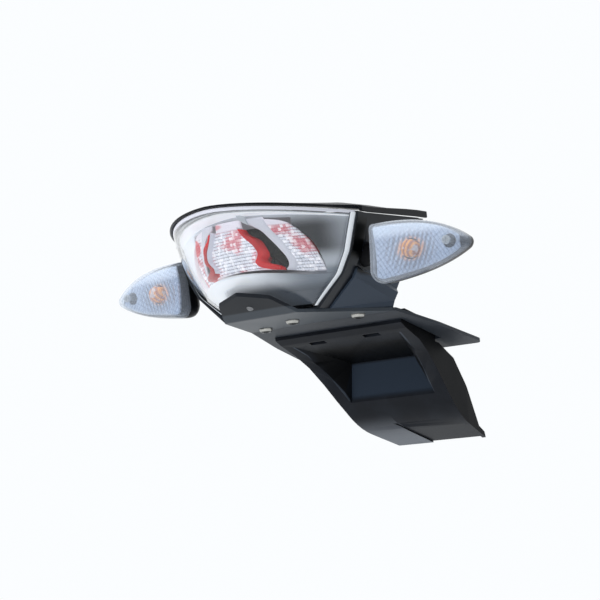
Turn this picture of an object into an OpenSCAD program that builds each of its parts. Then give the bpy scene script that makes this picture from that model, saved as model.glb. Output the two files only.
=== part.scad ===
// Motorcycle tail tidy with its tail lamp and indicators.
// X is the machine's right, Y is forward and Z is up. The origin is on the upper face of the
// folded plate, midway between its two front bolts.

/* [Folded plate] */
// Thickness of the steel sheet
plate_t = 2.5; // [2:0.5:3]
// Distance between the two front bolts
bolt_span = 86; // [80:1:92]
// Distance from the front bolts back to the rear bolt
rear_bolt_back = 25; // [20:1:30]
// Distance from the front bolts back to the fold of the tongue
tongue_fold_back = 66; // [62:1:68]
// Distance from the front bolts forward to the fold of the ramp
ramp_fold_ahead = 15; // [13:1:18]
// Width of the tongue at its fold
tongue_base_w = 66; // [60:1:70]
// Width of the tongue at its shoulders
tongue_shoulder_w = 46; // [40:1:50]
// Distance from the fold to the shoulders, along the sheet
tongue_shoulder_l = 22; // [18:1:24]
// Distance from the fold to the tip, along the sheet
tongue_l = 31.5; // [28:0.5:34]
// Rise of the tongue
tongue_angle = 28.5; // [20:0.5:32]
// Width of the plate at the fold of the ramp
ramp_w = 136; // [130:1:142]
// Width of the plate at the end of the ramp
ramp_end_w = 168; // [160:1:180]
// Length of the ramp, along the sheet
ramp_l = 108; // [104:1:116]
// Fall of the ramp
ramp_angle = 12.5; // [8:0.5:16]
// Width of the window in the ramp
window_w = 120; // [116:1:124]
// Distance from the ramp's fold to the window
window_ahead = 20; // [18:1:24]
// Length of the window
window_l = 62; // [58:1:66]
// Width of each tab at the window's rear edge
tab_w = 16; // [10:1:20]
// Length of each tab
tab_l = 4; // [2:0.5:6]
// Distance between the middles of the two tabs
tab_span = 51; // [44:1:58]

/* [Plate bolts] */
// Diameter of the bolt's shank
bolt_d = 6; // [5:1:6]
// Diameter of the button head
bolt_head_d = 10.5; // [9.5:0.5:12]
// Height of the button head
bolt_head_h = 3.3; // [2.5:0.1:4]
// Width across the flats of the socket
bolt_socket_w = 4; // [3:0.5:4.5]
// Diameter of its thread
thread_d = 5.35; // [4.9:0.05:5.6]
// Length of the thread above the surround's ears
bolt_free_l = 13; // [10:1:16]

/* [Undertray] */
// Wall of the moulding
tray_wall = 2.5; // [2:0.5:3]
// Width of the tray at the window
tray_top_w = 119; // [115:1:119]
// Width of the tray at its lower end
tray_end_w = 86; // [78:1:94]
// Width of the scoop at the window
scoop_top_w = 98; // [90:1:102]
// Width of the scoop at the foot of its pad
scoop_foot_w = 79; // [72:1:84]
// Width of the pad at its top edge
pad_top_w = 63; // [56:1:70]
// Width of each slot in the ceiling
slot_w = 15; // [10:1:18]
// Length of each slot
slot_l = 5; // [4:0.5:7]

/* [Tail lamp] */
// Width of the lens at its top corners
lens_w = 165; // [158:1:170]
// Width of the lens at the kink in its sides
lens_kink_w = 130; // [124:1:134]
// Height of the kink
lens_kink_z = 22; // [18:1:26]
// Width of the lens along its foot
lens_foot_w = 82; // [76:1:86]
// Height of the lens at its top corners
lens_corner_z = 65; // [60:1:68]
// Height that the top edge gains from its corners to its middle
lens_crown = 8; // [4:1:10]
// Distance that the lens bulges rearwards
lens_bulge = 70; // [60:1:74]
// Distance from the front bolts back to the rim of the lens
lens_rim_back = 51; // [48:1:54]
// Wall of the lens
lens_wall = 2.5; // [2:0.25:3]
// Number of flutes on each inner lens
flute_count = 9; // [6:1:12]
// Depth of a flute
flute_depth = 1.2; // [0.5:0.1:1.6]

/* [Cowl] */
// Width of the band beside the lens
band_w = 2; // [1.5:0.5:4]
// Wall of the cowl's mouldings
cowl_wall = 2.5; // [2:0.5:3]
// Reach of the cover's arms ahead of the front bolts
arm_reach = 45; // [38:1:50]

/* [Indicators] */
// Length of an indicator
ind_l = 78; // [72:1:82]
// Height of an indicator at its inner end
ind_h = 44; // [40:1:46]
// Distance that the indicator's lens bulges rearwards
ind_lens_bulge = 17; // [14:1:20]
// Depth of the indicator's body
ind_body_depth = 18; // [15:1:22]
// Distance from the middle of the machine to an indicator's inner end
ind_inner_x = 86; // [86:1:90]
// Sweep of the indicator, forwards at its tip
ind_sweep = 7; // [0:1:10]
// Diameter of the stem
stem_d = 17; // [14:1:19]

/* [Hidden] */
$fn = 32;
eps = 0.01;
clear = 0.3;

// Middle plane of the sheet, and the plan of its edges
half_t = plate_t / 2;
fold_radius = 4;
tongue_shoulder_y = -tongue_fold_back - tongue_shoulder_l * cos(tongue_angle);
tongue_tip_y = -tongue_fold_back - tongue_l * cos(tongue_angle);
ramp_end_y = ramp_fold_ahead + ramp_l * cos(ramp_angle);
window_y0 = ramp_fold_ahead + window_ahead * cos(ramp_angle);
window_y1 = window_y0 + window_l * cos(ramp_angle);
// Height of the sheet's upper face on the ramp
function ramp_z(y) = -(y - ramp_fold_ahead) * tan(ramp_angle);

// Lens: its sides as height and half width, its rim and its top
lens_foot_z = 1.5;
lens_top_z = lens_corner_z + lens_crown;
lens_rim_y = -lens_rim_back;
lens_side = [[lens_foot_z, lens_foot_w / 2], [lens_kink_z, lens_kink_w / 2],
    [lens_kink_z + 0.35 * (lens_corner_z - lens_kink_z), lens_kink_w / 4 + lens_w / 4],
    [lens_corner_z, lens_w / 2], [lens_top_z + 2, lens_w / 2 + 1]];
plan_power = 2.16;
crown_power = 1.4;
seal_t = 1.5;

// Inner lenses, at a share of the outer lens's bulge. They are drawn for a lens 165 wide
function drawn_at(x) = x * lens_w / 165;
inner_share = 0.74;
inner_trim = 8;
inner_rim_y = lens_rim_y + 4;
inner_wall = 2;
ledge_z = 25;
bulb_z = 44;
bulb_side_x = drawn_at(43);
bulb_r = 7.5;
holder_r = 9;
dish_y = lens_rim_y - 1;
housing_step_y = lens_rim_y + 6;
housing_back_y = lens_rim_y + 20;
tub_half = bulb_side_x + holder_r + 5;
tub_z = [28, 59];

// Cowl
surround_rear_y = lens_rim_y - 1.5;
surround_front_y = lens_rim_y + 11;
panel_front_y = ramp_fold_ahead - 1;
ear_t = cowl_wall;
skirt_foot_z = 64.5;

// Stem and indicator places
stem_y = lens_rim_y + 22;
stem_z = 36;
stem_tube_r = 5;
stem_boss_x = 66;
nut_h = 5;
ind_base_y = lens_rim_y + 11;

function unit(v) = v / norm(v);
function smooth(t) = let (c = min(max(t, 0), 1)) c * c * (3 - 2 * c);
function mix(a, b, t) = a + (b - a) * t;

// Outline with its corners rounded to radius r
function rounded(pts, r, n = 5) = [for (i = [0:len(pts) - 1]) each
    let (a = pts[(i + len(pts) - 1) % len(pts)], b = pts[i], c = pts[(i + 1) % len(pts)],
        u = unit(a - b), v = unit(c - b), half = acos(u * v) / 2)
    half > 88 ? [b] :
    let (d = min(r / tan(half), norm(a - b) / 2.1, norm(c - b) / 2.1), rr = d * tan(half),
        o = b + unit(u + v) * rr / sin(half), p = b + u * d - o, q = b + v * d - o,
        a0 = atan2(p[1], p[0]), sweep = (atan2(q[1], q[0]) - a0 + 540) % 360 - 180)
    [for (k = [0:n]) o + rr * [cos(a0 + sweep * k / n), sin(a0 + sweep * k / n)]]];

// Quadratic curve from a to c, drawn towards b, without its last point
function curve(a, b, c, n = 8) = [for (i = [0:n - 1]) let (t = i / n)
    (1 - t) * (1 - t) * a + 2 * t * (1 - t) * b + t * t * c];

// Closed solid between two grids of points, the first one on the side that is seen
// with its columns running to the right and its rows upwards
module sheet(face, back) {
    rows = len(face);
    cols = len(face[0]);
    function f(r, c) = r * cols + c;
    function b(r, c) = rows * cols + f(r, c);
    quads = [
        for (r = [0:rows - 2], c = [0:cols - 2]) each [
            [f(r, c), f(r + 1, c), f(r + 1, c + 1), f(r, c + 1)],
            [b(r, c), b(r, c + 1), b(r + 1, c + 1), b(r + 1, c)]],
        for (c = [0:cols - 2]) each [
            [f(0, c), f(0, c + 1), b(0, c + 1), b(0, c)],
            [f(rows - 1, c + 1), f(rows - 1, c), b(rows - 1, c), b(rows - 1, c + 1)]],
        for (r = [0:rows - 2]) each [
            [f(r + 1, 0), f(r, 0), b(r, 0), b(r + 1, 0)],
            [f(r, cols - 1), f(r + 1, cols - 1), b(r + 1, cols - 1), b(r, cols - 1)]]];
    polyhedron([for (g = [face, back]) each [for (row = g) each row]],
        [for (q = quads) each [[q[0], q[1], q[2]], [q[0], q[2], q[3]]]], convexity = 6);
}

// Closed solid through a list of rings, each anticlockwise when the next one lies towards the viewer
module loft(rings) {
    n = len(rings[0]);
    last = len(rings) - 1;
    polyhedron([for (r = rings) each r], concat(
        [for (k = [0:last - 1], i = [0:n - 1]) let (j = (i + 1) % n)
            each [[k * n + i, (k + 1) * n + i, (k + 1) * n + j], [k * n + i, (k + 1) * n + j, k * n + j]]],
        [for (i = [1:n - 2]) [0, i, i + 1]],
        [for (i = [1:n - 2]) [last * n, last * n + i + 1, last * n + i]]), convexity = 6);
}

// Extrudes an outline drawn in X and Z from y0 to y1
module along_y(y0, y1) {
    translate([0, y1, 0]) rotate([90, 0, 0]) linear_extrude(y1 - y0) children();
}

// Both copies of what lies on the right
module both_sides() {
    children();
    mirror([1, 0, 0]) children();
}

module bolt_places() {
    for (x = [-1, 1]) translate([x * bolt_span / 2, 0, 0]) children();
    translate([0, -rear_bolt_back, 0]) children();
}

// Side view of the bent sheet

// Points and headings round the bend at p, from heading a0 to a1
function bend(p, a0, a1, n = 6) = let (s = sign(a1 - a0), t = fold_radius * tan(abs(a1 - a0) / 2),
        o = p - t * [cos(a0), sin(a0)] + s * fold_radius * [-sin(a0), cos(a0)])
    [for (i = [0:n]) let (a = mix(a0, a1, i / n)) [o + s * fold_radius * [sin(a), -cos(a)], a]];

plate_line = concat(
    [[[tongue_tip_y - 2, -half_t + (-tongue_tip_y - tongue_fold_back + 2) * tan(tongue_angle)], -tongue_angle]],
    bend([-tongue_fold_back, -half_t], -tongue_angle, 0),
    bend([ramp_fold_ahead, -half_t], 0, -ramp_angle),
    [[[ramp_end_y + 2, -half_t + ramp_z(ramp_end_y + 2)], -ramp_angle]]);

function line_side(line, d) = [for (p = line) p[0] + d * [-sin(p[1]), cos(p[1])]];

module plate_side_view() {
    upper = line_side(plate_line, half_t);
    lower = line_side(plate_line, -half_t);
    polygon(concat(upper, [for (i = [len(lower) - 1:-1:0]) lower[i]]));
}

module plate_plan() {
    right = [[tongue_shoulder_w / 2, tongue_shoulder_y], [tongue_base_w / 2, -tongue_fold_back],
        [ramp_w / 2, ramp_fold_ahead], [mix(ramp_w, ramp_end_w, 0.6) / 2, mix(ramp_fold_ahead, ramp_end_y, 0.45)],
        [ramp_end_w / 2, ramp_end_y]];
    polygon(rounded(concat([[0, tongue_tip_y]], right,
        [for (i = [len(right) - 1:-1:0]) [-right[i][0], right[i][1]]]), 5));
}

module window_plan() {
    difference() {
        translate([-window_w / 2, window_y0]) square([window_w, window_y1 - window_y0]);
        for (x = [-1, 1]) translate([x * tab_span / 2 - tab_w / 2, window_y0 - eps]) square([tab_w, tab_l]);
    }
}

module main_plate() {
    color("dimgray") difference() {
        intersection() {
            rotate([90, 0, 90]) translate([0, 0, -ramp_end_w]) linear_extrude(2 * ramp_end_w) plate_side_view();
            translate([0, 0, -100]) linear_extrude(200) plate_plan();
        }
        translate([0, 0, -100]) linear_extrude(200) window_plan();
        bolt_places() translate([0, 0, -plate_t - 1]) cylinder(h = plate_t + 2, d = bolt_d + clear * 2);
        on_tongue() translate([0, 0, -plate_t - 1]) cylinder(h = plate_t + 2, d = rivet_d);
    }
}

// Button-head bolts, pushed up from below
module plate_bolts() {
    color("silver") bolt_places() difference() {
        rotate_extrude() polygon([[0, -plate_t - bolt_head_h], [bolt_head_d * 0.3, -plate_t - bolt_head_h],
            [bolt_head_d * 0.42, -plate_t - bolt_head_h * 0.75], [bolt_head_d * 0.5, -plate_t - bolt_head_h * 0.3],
            [bolt_head_d * 0.5, -plate_t], [bolt_d / 2, -plate_t], [bolt_d / 2, ear_t + clear],
            [thread_d / 2, ear_t + clear], [thread_d / 2, ear_t + bolt_free_l - 0.8],
            [thread_d / 2 - 0.8, ear_t + bolt_free_l], [0, ear_t + bolt_free_l]]);
        translate([0, 0, -plate_t - bolt_head_h - 1])
            cylinder(h = 1 + bolt_head_h * 0.6, d = bolt_socket_w / cos(30), $fn = 6);
    }
}

// Blind rivet in the tongue
rivet_d = 3;
rivet_back = 13.5;
module on_tongue() {
    translate([0, -tongue_fold_back, -half_t]) rotate([-tongue_angle, 0, 0])
        translate([0, -rivet_back, half_t]) children();
}

module tongue_rivet() {
    color("gray") on_tongue() rotate_extrude() polygon([[0, -plate_t - 1.2], [1.6, -plate_t - 1], [2.6, -plate_t],
        [rivet_d / 2, -plate_t], [rivet_d / 2, 0], [2.2, 0], [2.2, 1.2], [0, 1.2]]);
}

// Undertray: a hollow moulding whose sloping front holds a deep scoop

module on_ramp() {
    translate([0, ramp_fold_ahead, -half_t]) rotate([-ramp_angle, 0, 0]) translate([0, 0, half_t]) children();
}

// Lower edge of its sides, as Y and Z from the window's rear edge down to its end
tray_rear_y = window_y0 + 0.4;
tray_lower = concat(
    [[tray_rear_y, -9.5], [42, -13.5], [50, -16.8], [62, -22], [77, -31.5], [94, -46], [109, -60.3]],
    curve([122, -72], [136, -84.6], [152, -89.5], 5), [[152, -89.5], [188, -101]]);
// Upper edge of its sides, back up to the ramp
tray_front_y = window_y1 - 1;
tray_upper = [[186, -96], [174, -91], [153, -58.5], [130, -34.5], [101, -23], [tray_front_y, -22.5]];
// Stations of the scoop: Y, lip height, lip half width, ceiling height, ceiling half width
scoop_start = [46, -15.2];
pad_top = [103.8, -30.5];
pad_foot = [111.5, -62.3];
function ceiling_z(y) = mix(scoop_start[1], pad_top[1], (y - scoop_start[0]) / (pad_top[0] - scoop_start[0]));
scoop_stations = [[scoop_start[0], -15.3, scoop_top_w / 2 + 1, ceiling_z(46), scoop_top_w / 2],
    [54, -19, scoop_top_w / 2, ceiling_z(54), scoop_top_w / 2 - 2],
    [72, -28, scoop_top_w / 2 - 1, ceiling_z(72), mix(scoop_top_w, pad_top_w, 0.5) / 2],
    [90, -42.4, mix(scoop_top_w, scoop_foot_w, 0.5) / 2, ceiling_z(90), mix(scoop_top_w, pad_top_w, 0.85) / 2],
    [pad_top[0], -55.4, mix(scoop_top_w, scoop_foot_w, 0.8) / 2, pad_top[1], pad_top_w / 2],
    [pad_foot[0], pad_foot[1], scoop_foot_w / 2 + 1, pad_foot[1] + 4, scoop_foot_w / 2]];
slot_y = 46;

// Half width of the tray at y, less the inset
function tray_half(y) = mix(tray_top_w, tray_end_w,
    lookup(y, [[30, 0], [62, 0.03], [94, 0.27], [120, 0.47], [150, 0.66], [188, 1]])) / 2;

module tray_hull(inset) {
    lower = [for (p = tray_lower) p + inset * [0.5, 0.85]];
    upper = inset > 0 ? [[200, -60], [100, 10]] : tray_upper;
    intersection() {
        rotate([90, 0, 90]) translate([0, 0, -100]) linear_extrude(200)
            polygon(concat([[lower[0][0], inset > 0 ? 10 : ramp_z(tray_rear_y) + tray_wall]], lower, upper,
                inset > 0 ? [] : [[tray_front_y, ramp_z(tray_front_y) + tray_wall]]));
        translate([0, 0, -150]) linear_extrude(200) polygon(concat(
            [for (y = [30, 62, 94, 120, 150, 188]) [tray_half(y) - inset, y]],
            [for (y = [188, 150, 120, 94, 62, 30]) [inset - tray_half(y), y]]));
    }
}

// The scoop's space, or with a wall added round it
module scoop_space(wall) {
    loft([for (s = scoop_stations)
        let (slope = (s[2] - s[4]) / (s[3] - s[1]), low = s[1] - 30, wide = s[2] + min(slope * 8, 6),
            ahead = s[0] + (s[0] > pad_top[0] - 1 ? wall : 0))
        [[wide + wall, ahead, low], [-wide - wall, ahead, low], [-s[2] - wall, ahead, s[1]],
         [-s[4] - wall, ahead, s[3] + wall], [s[4] + wall, ahead, s[3] + wall], [s[2] + wall, ahead, s[1]]]]);
}

// Shallow step in the skirt, whose edge runs down it in an S
step_depth = 1.2;
module skirt_step() {
    edge = concat(curve([-17, 137], [-13, 139], [-11.5, 148]), curve([-11.5, 148], [-10, 168], [-7, 200]), [[-7, 200]]);
    intersection() {
        translate([0, 0, -150]) linear_extrude(100) polygon(concat([[tray_end_w / 2 - 5, 200], [tray_end_w / 2 + 3, 137]], edge));
        difference() {
            tray_hull(0);
            tray_hull(step_depth);
        }
    }
}

module undertray() {
    lip = 8;
    color("#25272a") difference() {
        union() {
            // Flange that rests on the plate round the window
            on_ramp() linear_extrude(tray_wall) difference() {
                translate([-window_w / 2 - lip, window_ahead - lip]) square([window_w + 2 * lip, window_l + 2 * lip]);
                translate([-tray_top_w / 2 + tray_wall, window_ahead + 16])
                    square([tray_top_w - 2 * tray_wall, window_l - 16 - tray_wall - 1]);
            }
            difference() {
                tray_hull(0);
                tray_hull(tray_wall);
            }
            intersection() {
                tray_hull(0);
                scoop_space(tray_wall);
            }
        }
        scoop_space(0);
        for (x = [-1, 1]) translate([x * tab_span / 2 - slot_w / 2, slot_y - slot_l / 2, -20]) cube([slot_w, slot_l, 20]);
        // Notches round the plate's tabs
        on_ramp() for (x = [-1, 1]) translate([x * tab_span / 2 - tab_w / 2 - clear, window_ahead - 1, -plate_t - clear])
            cube([tab_w + 2 * clear, tab_l + 1 + 2 * clear, plate_t + clear]);
        skirt_step();
    }
}

// Tail lamp: the outline of its rim, and its faces as Y over X and Z

function lens_half(z) = lookup(z, lens_side);
function lens_rise(z) = pow(1 - pow(1 - min(max(z, 0.5), lens_top_z) / (lens_top_z + 2), 2.4), 1 / 1.3);
// Height at u across the lens, from -1 to 1, of the row that is at z in the middle
function crowned(z, u) = z - lens_crown * pow(z / lens_top_z, 2) * pow(abs(u), crown_power);
function bulge_y(x, z, rim_y, share, trim) = rim_y - share * lens_bulge * lens_rise(z)
    * (1 - pow(min(abs(x) / (lens_half(z) - trim), 1), plan_power));

// Rim outline in X and Z, grown by g, with its foot at height foot
function rim_outline(g, foot) = let (
        right = [for (p = [for (i = [0:3]) lens_side[i]]) [p[1] + g * (p[0] < lens_kink_z ? 1.2 : 1), max(p[0], foot)]],
        top = [for (u = [0.9:-0.2:0.1]) [(lens_w / 2 + g) * u, crowned(lens_top_z, u) + g * 0.8]],
        half = concat([[right[0][0], foot]], [for (i = [1:3]) right[i]], top))
    concat(half, [for (i = [len(half) - 1:-1:0]) [-half[i][0], half[i][1]]]);

module rim_ring(outer, inner, foot, y0, y1) {
    along_y(y0, y1) difference() {
        polygon(rim_outline(outer, foot));
        polygon(rim_outline(inner, lens_foot_z + outer - inner - clear));
    }
}

// Rows of the lens, as height in the middle and share of the bulge, up to its roof
lens_rows = concat([for (z = [lens_foot_z, 4, 8, 13, 18, lens_kink_z, 28, 36, 46, 56, 65, lens_top_z - 1]) [z, 1]],
    [[lens_top_z, 0.96], [lens_top_z + 0.5, 0.5], [lens_top_z + 0.5, 0.12]]);

function lens_grid(inset) = [for (r = lens_rows)
    let (roof = r[1] < 1, edge = min(r[0], lens_top_z), half = lens_half(crowned(edge, 1)) - inset,
        drop = roof ? inset : 0, deep = (lens_bulge * lens_rise(edge) - inset) * r[1])
    [for (i = [-14:14]) let (u = i / 14)
        [half * u * (roof ? 0.98 + 0.02 * r[1] : 1), lens_rim_y - deep * (1 - pow(abs(u), plan_power)),
         crowned(r[0], u) - drop]]];

module lamp_lens() {
    color([0.85, 0.9, 0.95, 0.35]) sheet(lens_grid(0), lens_grid(lens_wall));
}

module lens_seal() {
    color("black") rim_ring(-0.2, -2.6, lens_foot_z, lens_rim_y, lens_rim_y + seal_t);
}

// Shallow tub behind the lens, narrower behind its flange
module tub_outline(inset) {
    x = tub_half - inset;
    polygon(rounded([[-x, tub_z[0] + inset], [x, tub_z[0] + inset], [x, tub_z[1] - inset], [-x, tub_z[1] - inset]], 6));
}

module lamp_housing() {
    flange_y = lens_rim_y + seal_t;
    color("#1c1d20") difference() {
        union() {
            along_y(flange_y, housing_step_y) polygon(rim_outline(-0.2, lens_foot_z));
            along_y(housing_step_y - eps, housing_back_y) tub_outline(0);
        }
        along_y(flange_y - 1, housing_step_y - lens_wall) polygon(rim_outline(-0.2 - lens_wall, lens_foot_z + lens_wall));
        along_y(flange_y - 1, housing_back_y - lens_wall) tub_outline(lens_wall);
        holder_places() rotate([-90, 0, 0]) cylinder(h = 60, r = holder_r + clear);
    }
}

module holder_places() {
    for (x = [-1, 0, 1]) translate([x * bulb_side_x, dish_y - 3, bulb_z]) children();
}

// Silver bowl: a ledge below, a bezel at the sides and a sunk dish behind the inner lenses.
// Across the bowl u runs from 0 in the middle to 1 at the dish's edge and 2 at the rim
bowl_rows = [4, 8, 13, 18, 22, 23.6, 25.2, 27, 34, 42, 50, 58, 61.5, 63, 66, 70];
bowl_cols = [0, 0.2, 0.4, 0.6, 0.8, 0.9, 1, 1.1, 1.3, 1.5, 1.7, 1.85, 2];
function bowl_half(z) = lens_half(crowned(z, 1)) - 3.2 - max(lens_kink_z - z, 0) * 0.18;
function bowl_x(u, z) = let (edge = min(lookup(z, outer_end_edge) + 1, 0.84 * bowl_half(z)))
    u <= 1 ? u * edge : u <= 1.1 ? edge + (u - 1) * 30 : mix(edge + 3, bowl_half(z), (u - 1.1) / 0.9);
function bowl_y(u, z) = let (x = bowl_x(u, z), above = z > 25,
        skin = bulge_y(x, z, lens_rim_y + 1.5, above ? 0.62 : 0.84, 3))
    above && z < 62 && u <= 1 ? max(skin, dish_y) : skin;

module lamp_reflector() {
    cols = concat([for (i = [len(bowl_cols) - 1:-1:1]) -bowl_cols[i]], bowl_cols);
    function grid(back) = [for (z = bowl_rows) [for (u = cols) let (x = sign(u) * bowl_x(abs(u), z))
        [x, bowl_y(abs(u), z) + back, crowned(z, x / bowl_half(z))]]];
    color("silver") difference() {
        sheet(grid(0), grid(1.8));
        holder_places() translate([0, -4, 0]) rotate([-90, 0, 0]) cylinder(h = 60, r = holder_r + clear);
    }
}

// A strip of the inner face between two edges, given as X over Z, lifted off it by lift
module inner_patch(left, right, z0, z1, lift, wall, cols, rows, flute = 0) {
    function at(i, j, back) = let (z = mix(z0, z1, j / rows), x = mix(lookup(z, left), lookup(z, right), i / cols),
            groove = flute * (i % 2), skin = bulge_y(x, z, inner_rim_y, inner_share, inner_trim))
        [x, skin - lift + (back ? wall : groove), z];
    sheet([for (j = [0:rows]) [for (i = [0:cols]) at(i, j, false)]],
        [for (j = [0:rows]) [for (i = [0:cols]) at(i, j, true)]]);
}

function mirrored(edge) = [for (p = edge) [p[0], -p[1]]];

// Edges on the right half of the lamp, as height and X: the centre lens, the black divider,
// the red strip beside it and the outer lens
inner_top_z = 61;
inner_steps = 9;
function across(edge) = [for (p = edge) [p[0], drawn_at(p[1])]];
centre_edge = across(
    [[ledge_z + 1, 23.5], [31, 20], [36, 20.5], [43, 20], [50, 15.5], [58, 12.5], [inner_top_z, 12]]);
strip_out_edge = across(
    [[ledge_z + 1, 29.5], [33, 27.5], [38, 28], [45, 25.5], [52, 21.5], [58, 18], [inner_top_z, 16.5]]);
divider_out_edge = across(
    [[ledge_z + 1, 35], [33, 36], [40, 34.5], [45, 31.5], [52, 27.5], [58, 23], [inner_top_z, 20.5]]);
outer_end_edge = across([[ledge_z + 1, 53], [35, 53.2], [45, 51.5], [52, 48.5], [58, 42], [inner_top_z, 36]]);

module inner_lens_centre() {
    color([0.9, 0.85, 0.87, 0.6]) inner_patch(mirrored(centre_edge), centre_edge, ledge_z + 1, inner_top_z, 0,
        inner_wall, 4 * flute_count, inner_steps, flute_depth);
}

module inner_lens_right() {
    color([0.9, 0.85, 0.87, 0.6]) inner_patch([for (p = divider_out_edge) p + [0, 0.4]], outer_end_edge,
        ledge_z + 1, inner_top_z, 0, inner_wall, 2 * flute_count, inner_steps, flute_depth);
}

module divider_right() {
    color("#17181a") inner_patch([for (p = strip_out_edge) p + [0, 0.2]], divider_out_edge,
        ledge_z + 1, inner_top_z, 3, 6, 2, inner_steps);
}

module red_strip_right() {
    color("#c8202a") inner_patch([for (p = centre_edge) p + [0, 0.2]], strip_out_edge,
        ledge_z + 1, inner_top_z, 3.5, 5, 2, inner_steps);
}

module inner_lens_left() { mirror([1, 0, 0]) inner_lens_right(); }
module divider_left() { mirror([1, 0, 0]) divider_right(); }
module red_strip_left() { mirror([1, 0, 0]) red_strip_right(); }

// Small clip that locates the centre lens at its top
module centre_clip() {
    color("gray") inner_patch([[inner_top_z + 0.2, 9], [70, 6]], [[inner_top_z + 0.2, 16], [70, 13]],
        inner_top_z + 0.2, 70, 1.5, 3, 2, 2);
}

module tail_bulb() {
    color("#d04048") rotate([90, 0, 0]) union() {
        cylinder(h = bulb_r + 0.1, r = bulb_r);
        translate([0, 0, bulb_r + 0.1]) sphere(r = bulb_r);
    }
}

module bulb_holder() {
    color("#2a2b2e") rotate([-90, 0, 0]) cylinder(h = housing_back_y - 0.5 - dish_y + 3, r = holder_r);
}

module tail_bulb_centre() { translate([0, dish_y - 3, bulb_z]) tail_bulb(); }
module tail_bulb_right() { translate([bulb_side_x, dish_y - 3, bulb_z]) tail_bulb(); }
module tail_bulb_left() { mirror([1, 0, 0]) tail_bulb_right(); }
module bulb_holder_centre() { translate([0, dish_y - 3, bulb_z]) bulb_holder(); }
module bulb_holder_right() { translate([bulb_side_x, dish_y - 3, bulb_z]) bulb_holder(); }
module bulb_holder_left() { mirror([1, 0, 0]) bulb_holder_right(); }

// Black frame beside and under the lamp, with three ears that the plate's bolts pass through
module lamp_surround() {
    ear_w = bolt_d + 12;
    ear_front = ear_w / 2;
    color("#1b1c1f") difference() {
        union() {
            along_y(surround_rear_y, surround_front_y) intersection() {
                polygon(rim_outline(band_w, 0));
                translate([-lens_w, 0]) square([2 * lens_w, skirt_foot_z - clear]);
            }
            translate([-ear_w / 2, surround_front_y - 1, 0])
                cube([ear_w, -rear_bolt_back + ear_front - surround_front_y + 1, ear_t]);
            both_sides() translate([bolt_span / 2, 0, 0]) linear_extrude(ear_t)
                polygon([[-17, surround_front_y - 1], [-2, surround_front_y - 1], [ear_front, -8], [ear_front, ear_front],
                    [-ear_front, ear_front], [-ear_front, -8]]);
        }
        along_y(surround_rear_y - 1, surround_front_y + eps) polygon(rim_outline(clear, lens_foot_z - clear));
        translate([0, 0, -1]) bolt_places() cylinder(h = ear_t + 2, d = bolt_d + 2 * clear);
    }
}

// Side panel: its rear section in X and Z, and its front edge, which leans forward to the top
panel_rear = [[45.5, 0], [68, 20], [71.5, 25.5], [69.5, 28.5], [83.2, skirt_foot_z - clear]];
panel_front = [[66, panel_front_y, 0], [68, panel_front_y, 5], [70.5, panel_front_y + 2, 11],
    [68.5, panel_front_y + 4, 14], [83.2, arm_reach - 2, skirt_foot_z + 3.5]];

function panel_grid(wall) = [for (i = [0:len(panel_rear) - 1])
    [[panel_rear[i][0] - wall, surround_front_y, panel_rear[i][1]], panel_front[i] - [wall, 0, 0]]];

module panel_fill() {
    top = panel_front[4];
    loft([concat([[0, panel_front_y, 0]], panel_front, [[0, top[1], top[2]]]),
        [for (p = concat([[0, 0]], panel_rear, [[0, panel_rear[4][1]]])) [p[0], surround_front_y, p[1]]]]);
}

module side_panel_right() {
    color("#202226") difference() {
        union() {
            sheet(panel_grid(0), panel_grid(cowl_wall));
            intersection() {
                translate([stem_boss_x, stem_y, stem_z]) rotate([0, 90, 0]) cylinder(h = 20, r = stem_tube_r + 4);
                panel_fill();
            }
        }
        translate([stem_boss_x - 1, stem_y, stem_z]) rotate([0, 90, 0]) cylinder(h = 40, r = stem_tube_r + clear);
    }
}

module side_panel_left() { mirror([1, 0, 0]) side_panel_right(); }

// Cover over the lamp, whose arms run forward beside the tail, as a share r of the way forward
cover_cols = [for (i = [-16:16]) i / 16];
cover_rows = [0, 0.12, 0.3, 0.5, 0.7, 0.85, 1];
function cover_rear(u) = lens_rim_y - (lens_bulge + 2) * (1 - pow(abs(u), plan_power));
function cover_front(u) = mix(housing_back_y - 3, arm_reach, smooth((abs(u) - 0.78) / 0.08));
function cover_under(u, r) = crowned(lens_top_z, u) + 1 + 5 * smooth(r) * smooth((abs(u) - 0.3) / 0.6);
function cover_lip(u, r) = mix(1.3, cowl_wall, max(min(r * 4, 1), smooth((abs(u) - 0.8) / 0.2)));

module tail_cover() {
    half = lens_w / 2 + 1 + cowl_wall;
    function row(r, in) = let (
            top = [for (u = cover_cols) [u * (half - in), mix(cover_rear(u), cover_front(u), r),
                cover_under(u, r) + (in > 0 ? 0 : cover_lip(u, r))]],
            foot_z = skirt_foot_z + 4 * smooth(r))
        concat([[-half + in, top[0][1], foot_z]], top, [[half - in, top[0][1], foot_z]]);
    color("#1d1f22") sheet([for (r = cover_rows) row(r, 0)], [for (r = cover_rows) row(r, cowl_wall)]);
}

// Indicator, drawn with its length along X, its height along Z and its face towards -Y

ind_mid = [22, 33];
ind_scale = [ind_l / 78, ind_h / 44];
ind_outline = let (raw = concat(
        curve([3, 55], [50, 57], [74, 35.5]), curve([74, 35.5], [76.5, 32], [73, 28.5], 3),
        curve([73, 28.5], [50, 14.5], [7, 11]), curve([7, 11], [0, 11], [-1.8, 19], 4),
        curve([-1.8, 19], [-0.5, 34], [0, 51], 3), curve([0, 51], [0.3, 55], [3, 55], 3)))
    [for (p = raw) [p[0] * ind_scale[0], ind_mid[1] + (p[1] - ind_mid[1]) * ind_scale[1]]];

function ind_ring(y, k, inset = 0) = [for (p = ind_outline)
    let (d = p - ind_mid, q = ind_mid + d * k * (norm(d) - inset) / norm(d)) [q[0], y, q[1]]];

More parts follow.
